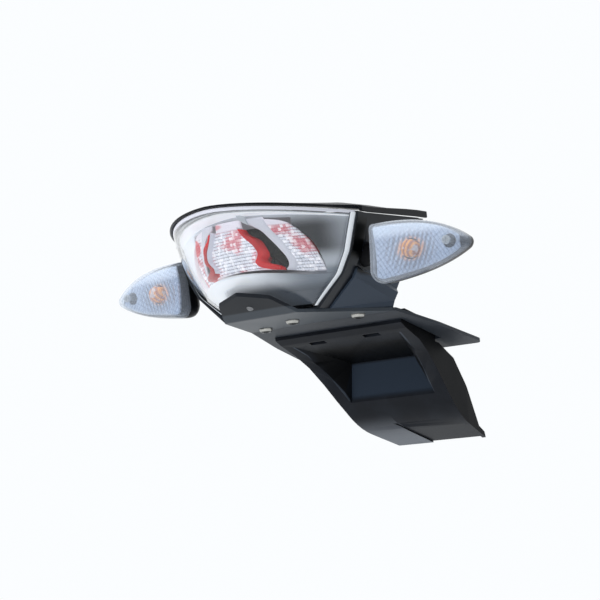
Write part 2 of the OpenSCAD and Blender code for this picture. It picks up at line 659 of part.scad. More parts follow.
// Depth and share of the outline for the lens and the body, from their joint outwards
lens_steps = [[0, 1], [0.25, 0.985], [0.5, 0.94], [0.72, 0.85], [0.88, 0.72], [0.97, 0.52], [1, 0.25]];
body_steps = [[0, 1], [0.3, 0.99], [0.6, 0.93], [0.85, 0.78], [1, 0.55]];

module ind_dome(steps, depth, wall) {
    // A positive depth bulges rearwards
    rings = [for (s = steps) ind_ring(-s[0] * (depth - sign(depth) * wall) + (s[0] == 0 ? sign(depth) * wall * 0.1 : 0), s[1], wall)];
    if (depth > 0) loft([for (i = [len(rings) - 1:-1:0]) rings[i]]);
    else loft(rings);
}

module ind_shell(steps, depth, wall) {
    difference() {
        ind_dome(steps, depth, 0);
        ind_dome(steps, depth, wall);
    }
}

module at_right() {
    translate([ind_inner_x, ind_base_y, 0]) rotate([0, 0, ind_sweep]) children();
}

ind_wall = 2;
ind_bulb_at = [30, 33];
ind_bulb_r = 6.5;
ind_screw_at = [60, 34];
ind_screw_seat = 9;

module indicator_body_right() {
    color("#1b1c1f") difference() {
        at_right() difference() {
            union() {
                ind_shell(body_steps, -ind_body_depth, ind_wall);
                translate([ind_screw_at[0], 0.5, ind_screw_at[1]]) rotate([-90, 0, 0])
                    cylinder(h = ind_body_depth * 0.72, r = 3.2);
            }
            translate([ind_screw_at[0], 0, ind_screw_at[1]]) rotate([-90, 0, 0]) cylinder(h = 8, r = 1.5);
        }
        translate([ind_inner_x - 10, stem_y, stem_z]) rotate([0, 90, 0]) cylinder(h = 22, r = stem_tube_r + clear);
    }
}

module indicator_lens_right() {
    color([0.85, 0.9, 0.97, 0.4]) at_right() difference() {
        union() {
            ind_shell(lens_steps, ind_lens_bulge, ind_wall);
            intersection() {
                translate([ind_screw_at[0], 0, ind_screw_at[1]]) rotate([90, 0, 0]) cylinder(h = 20, r = 4.6);
                ind_dome(lens_steps, ind_lens_bulge, 0);
            }
        }
        translate([ind_screw_at[0], 1, ind_screw_at[1]]) rotate([90, 0, 0]) cylinder(h = 12, r = 1.7);
        translate([ind_screw_at[0], -ind_screw_seat, ind_screw_at[1]]) rotate([90, 0, 0]) cylinder(h = 30, r = 3.4);
    }
}

module lens_screw_right() {
    color("silver") at_right() translate([ind_screw_at[0], -ind_screw_seat, ind_screw_at[1]]) rotate([90, 0, 0]) difference() {
        union() {
            translate([0, 0, -ind_screw_seat - 7.5]) cylinder(h = ind_screw_seat + 7.6, r = 1.5);
            cylinder(h = 2.2, r = 3.1);
        }
        for (a = [0, 90]) rotate([0, 0, a]) translate([-2, -0.4, 1]) cube([4, 0.8, 2]);
    }
}

// Ribbed silver dish behind the indicator's bulb
module indicator_reflector_right() {
    ribs = 10;
    color("silver") at_right() difference() {
        intersection() {
            translate([4, -3, 12]) sheet_dish(ribs);
            ind_dome(lens_steps, ind_lens_bulge, ind_wall + 0.6);
        }
        translate([ind_bulb_at[0], -20, ind_bulb_at[1]]) rotate([-90, 0, 0]) cylinder(h = 40, r = ind_bulb_r + 1);
        translate([ind_screw_at[0], -20, ind_screw_at[1]]) rotate([-90, 0, 0]) cylinder(h = 40, r = 5);
    }
}

module sheet_dish(ribs) {
    w = ind_l * 0.82;
    h = ind_h * 0.9;
    cols = 2 * ribs;
    function at(i, j, back) = let (u = 2 * i / cols - 1, v = 2 * j / 6 - 1)
        [w * i / cols, -5 * (u * u + v * v) / 2 + (back ? 1.5 : 0.8 * (i % 2)), h * j / 6];
    sheet([for (j = [0:6]) [for (i = [0:cols]) at(i, j, false)]], [for (j = [0:6]) [for (i = [0:cols]) at(i, j, true)]]);
}

module indicator_bulb_right() {
    color("orange") at_right() translate([ind_bulb_at[0], 1, ind_bulb_at[1]]) rotate([90, 0, 0]) union() {
        cylinder(h = ind_bulb_r + 0.1, r = ind_bulb_r);
        translate([0, 0, ind_bulb_r + 0.1]) sphere(r = ind_bulb_r);
    }
}

module indicator_holder_right() {
    color("#2a2b2e") at_right() translate([ind_bulb_at[0], 1, ind_bulb_at[1]]) rotate([-90, 0, 0])
        cylinder(h = ind_body_depth - ind_wall - 1.3, r = ind_bulb_r);
}

// Rubber stem on a threaded tube, held by a nut inside the cowl
module indicator_stem_right() {
    color("#151617") difference() {
        union() {
            difference() {
                translate([stem_boss_x, stem_y, stem_z]) rotate([0, 90, 0])
                    cylinder(h = ind_inner_x - 1.9 - stem_boss_x, d = stem_d);
                panel_fill();
            }
            translate([stem_boss_x - nut_h - 2, stem_y, stem_z]) rotate([0, 90, 0])
                cylinder(h = ind_inner_x + 6 - stem_boss_x + nut_h + 2, r = stem_tube_r);
        }
    }
}

module stem_nut_right() {
    color("silver") translate([stem_boss_x - nut_h, stem_y, stem_z]) rotate([0, 90, 0]) difference() {
        cylinder(h = nut_h, r = 8.5, $fn = 6);
        translate([0, 0, -1]) cylinder(h = nut_h + 2, r = stem_tube_r + 0.1);
    }
}

module indicator_body_left() { mirror([1, 0, 0]) indicator_body_right(); }
module indicator_lens_left() { mirror([1, 0, 0]) indicator_lens_right(); }
module lens_screw_left() { mirror([1, 0, 0]) lens_screw_right(); }
module indicator_reflector_left() { mirror([1, 0, 0]) indicator_reflector_right(); }
module indicator_bulb_left() { mirror([1, 0, 0]) indicator_bulb_right(); }
module indicator_holder_left() { mirror([1, 0, 0]) indicator_holder_right(); }
module indicator_stem_left() { mirror([1, 0, 0]) indicator_stem_right(); }
module stem_nut_left() { mirror([1, 0, 0]) stem_nut_right(); }

main_plate();
plate_bolts();
tongue_rivet();
undertray();
lamp_surround();
side_panel_right();
side_panel_left();
tail_cover();
lamp_housing();
lamp_reflector();
lens_seal();
lamp_lens();
inner_lens_centre();
inner_lens_right();
inner_lens_left();
divider_right();
divider_left();
red_strip_right();
red_strip_left();
centre_clip();
tail_bulb_centre();
tail_bulb_right();
tail_bulb_left();
bulb_holder_centre();
bulb_holder_right();
bulb_holder_left();
indicator_body_right();
indicator_body_left();
indicator_lens_right();
indicator_lens_left();
indicator_reflector_right();
indicator_reflector_left();
indicator_bulb_right();
indicator_bulb_left();
indicator_holder_right();
indicator_holder_left();
indicator_stem_right();
indicator_stem_left();
stem_nut_right();
stem_nut_left();
lens_screw_right();
lens_screw_left();
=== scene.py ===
"""Looks of a motorcycle tail tidy with its lamp, cowl and indicators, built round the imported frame."""

import math

import bmesh
import bpy
import numpy as np
from mathutils import Matrix, Vector


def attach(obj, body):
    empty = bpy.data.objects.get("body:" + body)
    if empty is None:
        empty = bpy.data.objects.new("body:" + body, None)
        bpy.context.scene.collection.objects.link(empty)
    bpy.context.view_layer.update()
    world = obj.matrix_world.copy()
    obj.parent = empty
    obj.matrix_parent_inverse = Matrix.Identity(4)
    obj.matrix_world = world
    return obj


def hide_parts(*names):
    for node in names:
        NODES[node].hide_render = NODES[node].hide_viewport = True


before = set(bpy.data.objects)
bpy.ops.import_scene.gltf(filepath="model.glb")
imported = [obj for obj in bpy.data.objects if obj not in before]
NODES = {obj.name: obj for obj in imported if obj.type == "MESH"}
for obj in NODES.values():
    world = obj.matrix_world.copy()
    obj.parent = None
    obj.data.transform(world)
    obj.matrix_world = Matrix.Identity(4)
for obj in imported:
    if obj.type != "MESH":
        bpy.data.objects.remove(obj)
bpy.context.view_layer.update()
MM = 0.001
SIDES = (("right", 1), ("left", -1))

# Sizes and places in millimetres, as the part has them
BOLT_PLACES = ((43.0, 0.0), (-43.0, 0.0), (0.0, -25.0))
STUD_R = 3.0
THREAD_R = 2.72
THREAD_PITCH = 1.0
THREAD_TURNS = 11.0
THREAD_FOOT_Z = 3.2
LENS_SIDE = ((1.5, 41.0), (22.0, 65.0), (37.05, 73.75), (65.0, 82.5), (75.0, 83.5))
LENS_SIDE_EASE = 1.5
LENS_FOOT_Z = 1.5
LENS_TOP_Z = 73.0
LENS_CROWN = 8.0
LENS_BULGE = 70.0
LENS_RIM_Y = -51.0
LENS_WALL = 2.5
ROOF_DROP = 1.5
ROOF_ROLL = 2.0
PLAN_POWER = 2.16
CROWN_POWER = 1.4
RISE_POWERS = (2.4, 1.3)
INNER_SHARE = 0.74
INNER_TRIM = 8.0
INNER_RIM_Y = -47.0
INNER_WALL = 2.0
INNER_FOOT_Z = 26.0
INNER_FOOT_RISE = 4.2
INNER_TOP_Z = 66.0
WAVE_FOOT_Z = 26.8
WAVE_TOP_Z = 58.5
CELL_W = 1.7
CELL_H = 2.2
CELLS = 9
CELL_DEPTH = 1.1
# Where the lattice ends below the inner lenses' top, as distance from the middle and height
LATTICE_TOP = ((0, 61), (14, 60.5), (25, 58.5), (38, 58.5), (44, 57), (47, 53), (50, 46), (54, 31))
DISH_Y = -52.0
DISH_TOP_Z = 65.6
DISH_EASE = 1.4
BOWL_WALL = 1.8
BOWL_BEHIND_RIM = 1.5
BOWL_TRIM = 3.0
BOWL_SHARES = (0.62, 0.22)
BOWL_ROWS = ((4, 22, 16), (22.4, 32, 26), (33, 60, 18), (60.5, 68, 18), (68.5, 71, 4))
BOWL_COLUMNS = ((0, 0.95, 24), (0.97, 1.1, 8), (1.14, 2, 24))
SHELF_BELOW = 2.6
BEZEL_W = 3.0
BEZEL_END = 1.1
BULB_Z = 44.0
BULB_SIDE_X = 43.0
BULB_R = 7.5
LINER_INSET = 3.5
LINER_BACK = 5.0
LINER_DROP = 3.4
LINER_T = 0.8
RIM_FOOT_Z = 2.2
RIM_T = 0.3
RIM_TOP_T = 0.9
CLIP_CORNERS = ((12.0, 65.2), (18.0, 61.1), (9.2, 70.3), (15.8, 67.8))
CLIP_T = 2.0
# Edges on the right half of the lamp's inner face, as height and distance from the middle
OUTER_EDGE = ((25, 53), (35, 53.2), (45, 51.5), (52, 48.5), (58, 44), (61, 40.5), (63, 35.5), (65, 24),
              (66, 20))
FLUTE_EDGE = ((25, 37.5), (30, 39.8), (34.6, 40.6), (39.3, 39.2), (45.6, 37.2), (49.6, 35.4), (55.5, 31.8),
              (66, 27))
BLACK_OUT = ((27, 33), (28.5, 34.6), (31, 35.8), (35.1, 35.9), (41.4, 33.5), (49.6, 29), (56.4, 24),
             (60.2, 18.7), (62.5, 14.6))
BLACK_IN = ((27, 32.6), (29.5, 31), (32.6, 30.3), (36.1, 26.7), (43.8, 25.6), (50, 22.6), (53.5, 17.5),
            (58.5, 14.4), (62.5, 12.8))
RED_OUT = ((26.6, 31.5), (28.3, 33), (30.2, 30), (31.6, 25.2), (33.2, 23.6), (35.2, 23.8), (37.2, 26),
           (43.8, 25.4), (50, 22.3), (53.5, 17.2), (58.5, 14.2))
RED_IN = ((26.6, 27), (28.3, 21), (30.2, 19.3), (32.4, 18.8), (34.6, 20.3), (38.1, 22.2), (44.4, 21),
          (51.3, 16), (58.5, 12.4), (66, 11.5))
PANEL_REAR = ((45.5, 0), (68, 20), (71.5, 25.5), (69.5, 28.5))
PANEL_TOP = (64.2, 68.0)
ARM_REACH = 45.0
COWL_EDGE = 0.6
LIP_W = 7.0
LIP_INSET = 0.6
LIP_Y = (-39.8, -38.6)
LIP_Z = (2.5, 26.0)
TOP_LIP_X = (80.2, 79.0)
TOP_LIP_RISE = (-6.0, 1.2)
IND_PLACE = (86.0, -40.0)
IND_SWEEP = 7.0
IND_MID = np.array((22.0, 33.0))
IND_LENS_BULGE = 17.0
IND_BODY_DEPTH = 18.0
IND_WALL = 2.0
IND_BULB_AT = (30.0, 33.0)
IND_BULB_R = 6.5
FLOOR_Z = -450.0
FLOOR_REACH = 6000.0

# Borders of the finishes and of their painted light and shade, in millimetres; a pair says where a tone
# begins and where it is full
SOCKET_EDGE_R = (4.1, 4.7)
LEVEL_FRONT_Y = (14.0, 10.0)
TONGUE_Y = (-37.0, -41.0)
SCOOP_REAR_Y = 46.0
SCOOP_LIP_Z = -15.3
SCOOP_LIP_HALF = 50.7
SCOOP_LIP_TAPER = 0.165
SCOOP_FRONT_Y = (112.5, 111.2)
PAD_REAR_Y = (103.5, 104.5)
SKIRT_Z = (-74.0, -98.0)
SKIRT_STEP = (-11.5, 148.0)
SKIRT_STEP_LEAN = 0.08
JOINT_FOOT = (72.0, 23.0)
JOINT_LEAN = 0.324
LOW_FACET_Z = (27.0, 24.0)
SHELF_Z = (31.0, 25.0)
SHELF_SEAM_Z = 11.5
SHELF_SEAM_RISE = 0.045
FLUTED_TOP_Z = (61.0, 58.5)
LEFT_GLOW_AT = (-44.0, 55.0)
TOP_GLOW_AT = (-16.0, 63.8)
STREAK_PITCH = 3.3


# Shader expressions

class Value:
    """An output socket. Arithmetic on it adds Math nodes."""

    def __init__(self, tree, socket):
        self.tree = tree
        self.socket = socket

    def math(self, operation, *others):
        return maths(self.tree, operation, self, *others)

    def __add__(self, other):
        return self.math("ADD", other)

    def __sub__(self, other):
        return self.math("SUBTRACT", other)

    def __rsub__(self, other):
        return maths(self.tree, "SUBTRACT", other, self)

    def __mul__(self, other):
        return self.math("MULTIPLY", other)

    def __truediv__(self, other):
        return self.math("DIVIDE", other)

    def __abs__(self):
        return self.math("ABSOLUTE")

    __radd__ = __add__
    __rmul__ = __mul__

    def rise(self, low, high):
        """0 at low and 1 at high, smoothly between them; low may be the greater."""
        return add_node(self.tree, "ShaderNodeMapRange", {"Value": self, "From Min": low, "From Max": high},
                        interpolation_type="SMOOTHSTEP")


def plug(tree, socket, term):
    if isinstance(term, Value):
        tree.links.new(term.socket, socket)
    else:
        socket.default_value = term


def add_node(tree, kind, inputs=None, output=0, **settings):
    """One node of a tree: its settings first, then the values or links of its sockets."""
    node = tree.nodes.new(kind)
    for name, value in settings.items():
        setattr(node, name, value)
    for name, term in (inputs or {}).items():
        plug(tree, node.inputs[name], term)
    return Value(tree, node.outputs[output])


def maths(tree, operation, *terms):
    return add_node(tree, "ShaderNodeMath", dict(enumerate(terms)), operation=operation)


def split_axes(tree, vector):
    node = add_node(tree, "ShaderNodeSeparateXYZ", {0: vector}).socket.node
    return dict(zip("xyz", (Value(tree, axis) for axis in node.outputs)))


class Finish:
    """A material being made: its object coordinates and the nodes added to it."""

    def __init__(self, name):
        self.material = bpy.data.materials.new(name)
        self.material.use_nodes = True
        self.tree = self.material.node_tree
        self.tree.nodes.clear()
        self.out = self.tree.nodes.new("ShaderNodeOutputMaterial")
        self.place = self.node("TexCoord", output="Object")

    def node(self, kind, inputs=None, output=0, **settings):
        return add_node(self.tree, "ShaderNode" + kind, inputs, output, **settings)

    def noise(self, scale, detail, roughness=0.5):
        return self.node("TexNoise", {"Vector": self.place, "Scale": scale, "Detail": detail,
                                      "Roughness": roughness})

    def axes(self, wanted):
        """Object coordinates in millimetres."""
        scaled = self.node("VectorMath", {0: self.place, "Scale": 1 / MM}, operation="SCALE")
        axes = split_axes(self.tree, scaled)
        return [axes[name] for name in wanted]

    def facing(self, axis):
        """The part of the surface's normal along an axis of the object."""
        return split_axes(self.tree, self.node("TexCoord", output="Normal"))[axis]

    def grazing(self, power):
        """0 where the surface is seen face on and 1 where it is seen edge on."""
        return self.node("LayerWeight", {"Blend": 0.5}, output="Facing").math("POWER", power)

    def ridges(self, count):
        """0 in the middle of each whole count and 1 where two of them meet."""
        return abs(count.math("FRACT") - 0.5) * 2

    def blend(self, share, low, high):
        return self.node("Mix", {0: share, 6: low, 7: high}, output=2, data_type="RGBA")

    def bump(self, height, depth, strength=0.6):
        return self.node("Bump", {"Height": height, "Distance": depth * MM, "Strength": strength})

    def surface(self, **inputs):
        """A principled surface; the names are its sockets', with _ for a space."""
        named = {name.replace("_", " "): term for name, term in inputs.items()}
        return self.node("BsdfPrincipled", named)

    def mixed(self, share, first, second):
        return self.done(self.node("MixShader", {0: share, 1: first, 2: second}))

    def done(self, shader):
        self.tree.links.new(shader.socket, self.out.inputs[0])
        return self.material


def tone(red, green, blue):
    """Linear colour of an 8-bit screen colour."""
    return tuple((c / 255 / 12.92) if c < 10 else ((c / 255 + 0.055) / 1.055) ** 2.4
                 for c in (red, green, blue)) + (1.0,)


def squared(across, up, squash=1.0):
    """Squared distance from two distances at right angles, one of them stretched."""
    return across * across + up * up * squash


def powder_coat():
    """Satin coat, with painted light making the plate's level part paler and painted shade making the top of
    its tongue darker.
    """
    f = Finish("satin_powder_coat")
    peel, cloud = f.noise(900, 2), f.noise(25, 3)
    y, z = f.axes("yz")
    # Painted light: the level part is paler. Painted shade: the top of the tongue is darker.
    level = y.rise(*LEVEL_FRONT_Y)
    tongue = y.rise(*TONGUE_Y) * z.rise(1.5, 3.0)
    base = f.blend(cloud.rise(0.3, 0.75), tone(38, 43, 50), tone(48, 54, 62))
    base = f.blend(level * 0.7, base, tone(74, 81, 88))
    base = f.blend(tongue, base, tone(17, 22, 29))
    return f.done(f.surface(Base_Color=base, Roughness=0.4 + cloud * 0.1, Specular_IOR_Level=0.2,
                            Normal=f.bump(peel, 0.08, 0.5)))


def bright_steel():
    f = Finish("bright_bolt_steel")
    turned = f.noise(1500, 2)
    return f.done(f.surface(Base_Color=tone(214, 213, 208), Metallic=1.0, Roughness=0.2 + turned * 0.15,
                            Normal=f.bump(turned, 0.03, 0.4)))


def socket_steel():
    """Bolt steel with painted shade in the sockets, which lie on the bolts' axes."""
    f = Finish("bolt_steel_with_painted_socket_shade")
    turned = f.noise(1500, 2)
    x, y = f.axes("xy")
    from_axes = [squared(abs(x) - across, y - back).math("SQRT") for across, back in BOLT_PLACES[::2]]
    # Painted shade: the sockets are near black.
    unshaded = from_axes[0].math("MINIMUM", from_axes[1]).rise(*SOCKET_EDGE_R)
    base = f.blend(unshaded, tone(30, 31, 34), tone(176, 175, 170))
    return f.done(f.surface(Base_Color=base, Metallic=0.9, Roughness=0.22 + turned * 0.15,
                            Normal=f.bump(turned, 0.03, 0.4)))


def dull_alloy():
    f = Finish("dull_rivet_alloy")
    wear = f.noise(700, 3)
    return f.done(f.surface(Base_Color=f.blend(wear, tone(98, 99, 102), tone(140, 141, 143)), Metallic=0.9,
                            Roughness=0.35 + wear * 0.15))


def moulding(name, dark, light):
    """A moulded finish begun: its fine grain, its dust and the colour that the dust makes paler."""
    f = Finish(name)
    dust = f.noise(40, 4)
    return f, f.noise(1400, 3, 0.6), dust, f.blend(dust.rise(0.35, 0.8), dark, light)


def moulded_black(name, dark, light, rough, grain_depth):
    f, grain, dust, base = moulding(name, dark, light)
    return f.done(f.surface(Base_Color=base, Roughness=rough + dust * 0.08, Specular_IOR_Level=0.1,
                            Normal=f.bump(grain, grain_depth)))


def tray_plastic():
    """Moulded black, with painted shade making it nearly black in the scoop and on the sides, painted light
    making it bluish on the pad and paler at the skirt, and a painted highlight along the scoop's lip.
    """
    f, grain, dust, base = moulding("satin_tray_plastic", tone(24, 27, 33), tone(35, 39, 46))
    x, y, z = f.axes("xyz")
    along = y - SCOOP_REAR_Y
    lip = SCOOP_LIP_Z - along * 0.45 - along * along * 0.0042
    # Painted shade: the scoop is nearly black.
    sunk = (z - lip).rise(1.0, 6.0) * abs(x).rise(52.5, 50.5) * along.rise(0, 3) * y.rise(*SCOOP_FRONT_Y)
    # Painted highlight along the scoop's lip.
    edge = abs(abs(x) - SCOOP_LIP_HALF + along * SCOOP_LIP_TAPER).rise(1.1, 0.5) * abs(z - lip).rise(2.0, 1.0)
    edge = edge * along.rise(0, 2) * y.rise(111, 109)
    # Painted light: the pad is bluish.
    pad = sunk * y.rise(*PAD_REAR_Y)
    # Painted shade: the sides are nearly black; they are also rougher.
    side_shade = abs(f.facing("x")).rise(0.55, 0.8)
    # Painted light: the skirt's downward faces, left of its step, are paler.
    step_x, step_y = SKIRT_STEP
    beyond = (x - step_x - (y - step_y) * SKIRT_STEP_LEAN).rise(-0.5, 0.5)
    skirt = z.rise(*SKIRT_Z) * (1 - beyond) * f.facing("z").rise(0.0, -0.2)
    for share, colour in ((skirt, tone(134, 138, 144)), (sunk, tone(3, 4, 6)), (pad, tone(46, 56, 69)),
                          (side_shade * 0.9, tone(2, 3, 5)), (edge * 0.7, tone(82, 90, 100))):
        base = f.blend(share, base, colour)
    return f.done(f.surface(Base_Color=base, Roughness=0.34 + dust * 0.08 + side_shade * 0.2,
                            Specular_IOR_Level=0.06, Normal=f.bump(grain, 0.06)))


def panel_plastic(name, lit_low_facets):
    """Moulded black beside the lamp, with painted shade along the slot of the joint that runs up it and
    painted light making low facets paler.
    """
    f, grain, dust, base = moulding(name, tone(26, 30, 36), tone(36, 41, 48))
    x, z = f.axes("xz")
    foot_x, foot_z = JOINT_FOOT
    # Painted shade: near black in the slot along the joint.
    off_joint = abs(abs(x) - foot_x - (z - foot_z) * JOINT_LEAN)
    joint = off_joint.rise(2.4, 1.4) * z.rise(20, 24) * z.rise(63, 59)
    # Painted light: the low facets are paler.
    base = f.blend(z.rise(*LOW_FACET_Z) * lit_low_facets, base, tone(66, 77, 91))
    base = f.blend(joint, base, tone(2, 3, 4))
    return f.done(f.surface(Base_Color=base, Roughness=0.26 + dust * 0.08, Specular_IOR_Level=0.14,
                            Normal=f.bump(grain, 0.03)))


def silver_coat():
    """Metallised coat with painted reflections: grey in the depth of the bowl, pale near its border, to the
    left and on its shelf, grey on the shelf's right with a painted dark reflection of the tongue; it gives
    off painted light.
    """
    f = Finish("silver_reflector_coat")
    cloud = f.noise(18, 2)
    x, z = f.axes("xz")
    # Painted reflections: the bowl is grey in its depth and pale to the left, near its top and low on the
    # right.
    left = x.rise(-20, -50)
    bowl = f.blend(x.rise(57, 81), tone(50, 52, 56), tone(176, 182, 190))
    bowl = f.blend(left, bowl, tone(222, 227, 233))
    bowl = f.blend(z.rise(56, 71) * 0.8, bowl, tone(210, 215, 222))
    bowl = f.blend(z.rise(43, 32) * x.rise(30, 50) * 0.7, bowl, tone(206, 213, 221))
    # Painted light that the coat gives off, though it is no lamp.
    painted_glow = f.blend(left * 0.6 + 0.4, (0, 0, 0, 1), bowl)
    # Painted dark reflection of the tongue on the shelf, and the shelf's dark seam line.
    shadow = z.rise(21.5, 13.5) * x.rise(-30, 0)
    seam = abs(z - SHELF_SEAM_Z - x * SHELF_SEAM_RISE).rise(0.5, 0.2) * x.rise(26, 28)
    # Painted reflections: the shelf is pale to the left and grey to the right.
    shelf = f.blend(x.rise(0, 50), tone(226, 230, 235), tone(106, 114, 123))
    shelf = f.blend(shadow * 0.85, shelf, tone(52, 60, 70))
    shelf = f.blend(seam * 0.7, shelf, tone(60, 66, 74))
    low = z.rise(*SHELF_Z)
    return f.done(f.surface(Base_Color=f.blend(low, bowl, shelf), Metallic=0.2, Roughness=0.3 + cloud * 0.06,
                            Specular_IOR_Level=0.25, Emission_Color=f.blend(low, painted_glow, shelf),
                            Emission_Strength=0.42))


# Pale gloss for parts inside the lamp; its emission, where set, is painted light, as none of them is a lamp.
def pale_gloss(name, pale, rough, metallic=0.0, painted_glow=0.2):
    f = Finish(name)
    cloud = f.noise(30, 2)
    base = f.blend(cloud, pale, tuple(0.86 * c for c in pale[:3]) + (1.0,))
    return f.done(f.surface(Base_Color=base, Metallic=metallic, Roughness=rough + cloud * 0.06,
                            Coat_Weight=0.3, Emission_Color=base, Emission_Strength=painted_glow))


def lens_plastic():
    """Clear plastic that turns to a mirror at grazing angles."""
    f = Finish("clear_lamp_lens")
    clear = f.node("BsdfTransparent", {"Color": (0.97, 0.975, 0.98, 1)})
    gloss = f.surface(Base_Color=(1, 1, 1, 1), Metallic=1.0, Roughness=0.03)
    return f.mixed((f.grazing(4) + 0.02) * 1.1, clear, gloss)


def fluted_plastic():
    """Clear cells in rows and columns, with painted shade in the creases between them, painted white glints
    on some, and the bulbs' red painted in patches and as glows at the left and top; the lens gives off
    painted light.
    """
    f = Finish("fluted_inner_lens")
    x, z = f.axes("xz")
    rows = f.ridges(z / CELL_H)
    columns = f.ridges((x + z * 0.12) / CELL_W)
    # Painted white glints on some cells.
    snapped = f.node("VectorMath", {0: f.place, 1: (CELL_W * MM, 1.0, CELL_H * MM)}, operation="SNAP")
    glint = f.node("TexWhiteNoise", {"Vector": snapped}).rise(0.55, 0.95)
    patch = f.noise(58, 1.5)
    fluted = z.rise(*FLUTED_TOP_Z)
    # Painted shade in the creases between the cells.
    joint = rows.rise(0.62, 0.95) * 0.75 + columns.rise(0.7, 0.98) * 0.45
    # Painted red light of the bulbs in patches, at the left and at the top.
    red = (patch + rows * 0.08).rise(0.5, 0.64) * fluted
    left_glow = squared(x - LEFT_GLOW_AT[0], z - LEFT_GLOW_AT[1], 2.4).rise(105, 60)
    top_glow = squared(z - TOP_GLOW_AT[1], x - TOP_GLOW_AT[0], 0.05).rise(7.5, 3.0)
    base = f.blend(joint * fluted, tone(226, 230, 238), tone(96, 100, 116))
    for share, colour in ((red * 0.7, tone(204, 72, 86)), (glint * fluted * 0.8, tone(252, 252, 255)),
                          ((1 - fluted) * 0.8, tone(226, 222, 230)),
                          (left_glow * 0.85 + top_glow * 0.6, tone(206, 48, 62))):
        base = f.blend(share, base, colour)
    # The emission is painted light; the inner lens is no lamp.
    body = f.surface(Base_Color=base, Roughness=0.1, Specular_IOR_Level=1.0, Emission_Color=base,
                     Emission_Strength=0.34)
    clear = f.node("BsdfTransparent", {"Color": tone(240, 232, 238)})
    return f.mixed(0.85, clear, body)


def indicator_ribs(f, pitch):
    """Crossed ribs: 1 where two of them meet."""
    x, z = f.axes("xz")
    slant = f.ridges((abs(x) * 0.86 + z * 0.5) / pitch)
    cross = f.ridges((z * 0.86 - abs(x) * 0.5) / (1.4 * pitch))
    return slant.rise(0.55, 0.95) * 0.6 + cross.rise(0.6, 0.95) * 0.4


def indicator_streaks(f):
    """Slanted streaks over the indicator's bulb."""
    x, z = f.axes("xz")
    return f.ridges((abs(x) * 0.93 - z * 0.36) / STREAK_PITCH)


def ribbed_plastic():
    """Clear indicator lens with fine ribs in it, less clear at its edges, that gives off painted light."""
    f = Finish("ribbed_indicator_lens")
    joint = indicator_ribs(f, 2.1)
    base = f.blend(joint, tone(226, 234, 244), tone(140, 150, 170))
    # Its emission is painted light; the lens is no lamp.
    body = f.surface(Base_Color=base, Roughness=0.08, Coat_Weight=0.5, Emission_Color=base,
                     Emission_Strength=0.2)
    clear = f.node("BsdfTransparent", {"Color": (0.93, 0.955, 0.985, 1)})
    return f.mixed(f.grazing(3) * 0.75 + joint * 0.2 + 0.1, clear, body)


def ribbed_reflector():
    """Metallised ribs behind the indicator's lens, with painted shade darker and a painted amber reflection
    warmer round the bulb, painted light paler at the top, and painted light given off.
    """
    f = Finish("ribbed_reflector_coat")
    x, z = f.axes("xz")
    streaks = indicator_streaks(f)
    bulb_x, bulb_z = IND_PLACE[0] + IND_BULB_AT[0], IND_BULB_AT[1]
    near = squared(abs(x) - bulb_x, z - bulb_z, 1.6)
    base = f.blend(indicator_ribs(f, 2.7) * 0.7, tone(172, 183, 200), tone(80, 90, 110))
    # Painted shade round the bulb, then the bulb's painted amber reflection.
    base = f.blend(near.rise(600, 120) * streaks.rise(0.2, 0.7) * 0.75, base, tone(104, 104, 112))
    base = f.blend(near.rise(160, 60) * streaks.rise(0.8, 0.3) * 0.7, base, tone(240, 160, 84))
    # Painted light: the top is paler.
    base = f.blend(z.rise(41, 47) * 0.7, base, tone(232, 238, 246))
    # Its emission is painted light; the reflector is no lamp.
    return f.done(f.surface(Base_Color=base, Metallic=0.3, Roughness=0.2, Emission_Color=base,
                            Emission_Strength=0.22))


def amber_glass():
    """Amber bulb, with the lens's streaks across its light."""
    f = Finish("amber_bulb_glass")
    cloud = f.noise(150, 2)
    base = f.blend(indicator_streaks(f).rise(0.2, 0.75), tone(246, 160, 52), tone(176, 104, 58))
    base = f.blend(cloud.rise(0.52, 0.62) * 0.75, base, tone(214, 206, 204))
    return f.done(f.surface(Base_Color=base, Roughness=0.12, Transmission_Weight=0.2, Emission_Color=base,
                            Emission_Strength=0.25))


def strip_plastic():
    f = Finish("red_strip_plastic")
    base = f.blend(f.noise(60, 2).rise(0.35, 0.65), tone(170, 10, 18), tone(210, 24, 32))
    # Its emission is painted light; the red strip is no lamp.
    return f.done(f.surface(Base_Color=base, Roughness=0.12, Specular_IOR_Level=0.3, Coat_Weight=0.1,
                            Coat_Roughness=0.05, Emission_Color=base, Emission_Strength=0.2))


def red_glass():
    f = Finish("red_bulb_glass")
    base = f.blend(f.noise(90, 2).rise(0.3, 0.7), tone(170, 20, 30), tone(205, 60, 66))
    return f.done(f.surface(Base_Color=base, Roughness=0.1, Transmission_Weight=0.2, Emission_Color=base,
                            Emission_Strength=0.05))


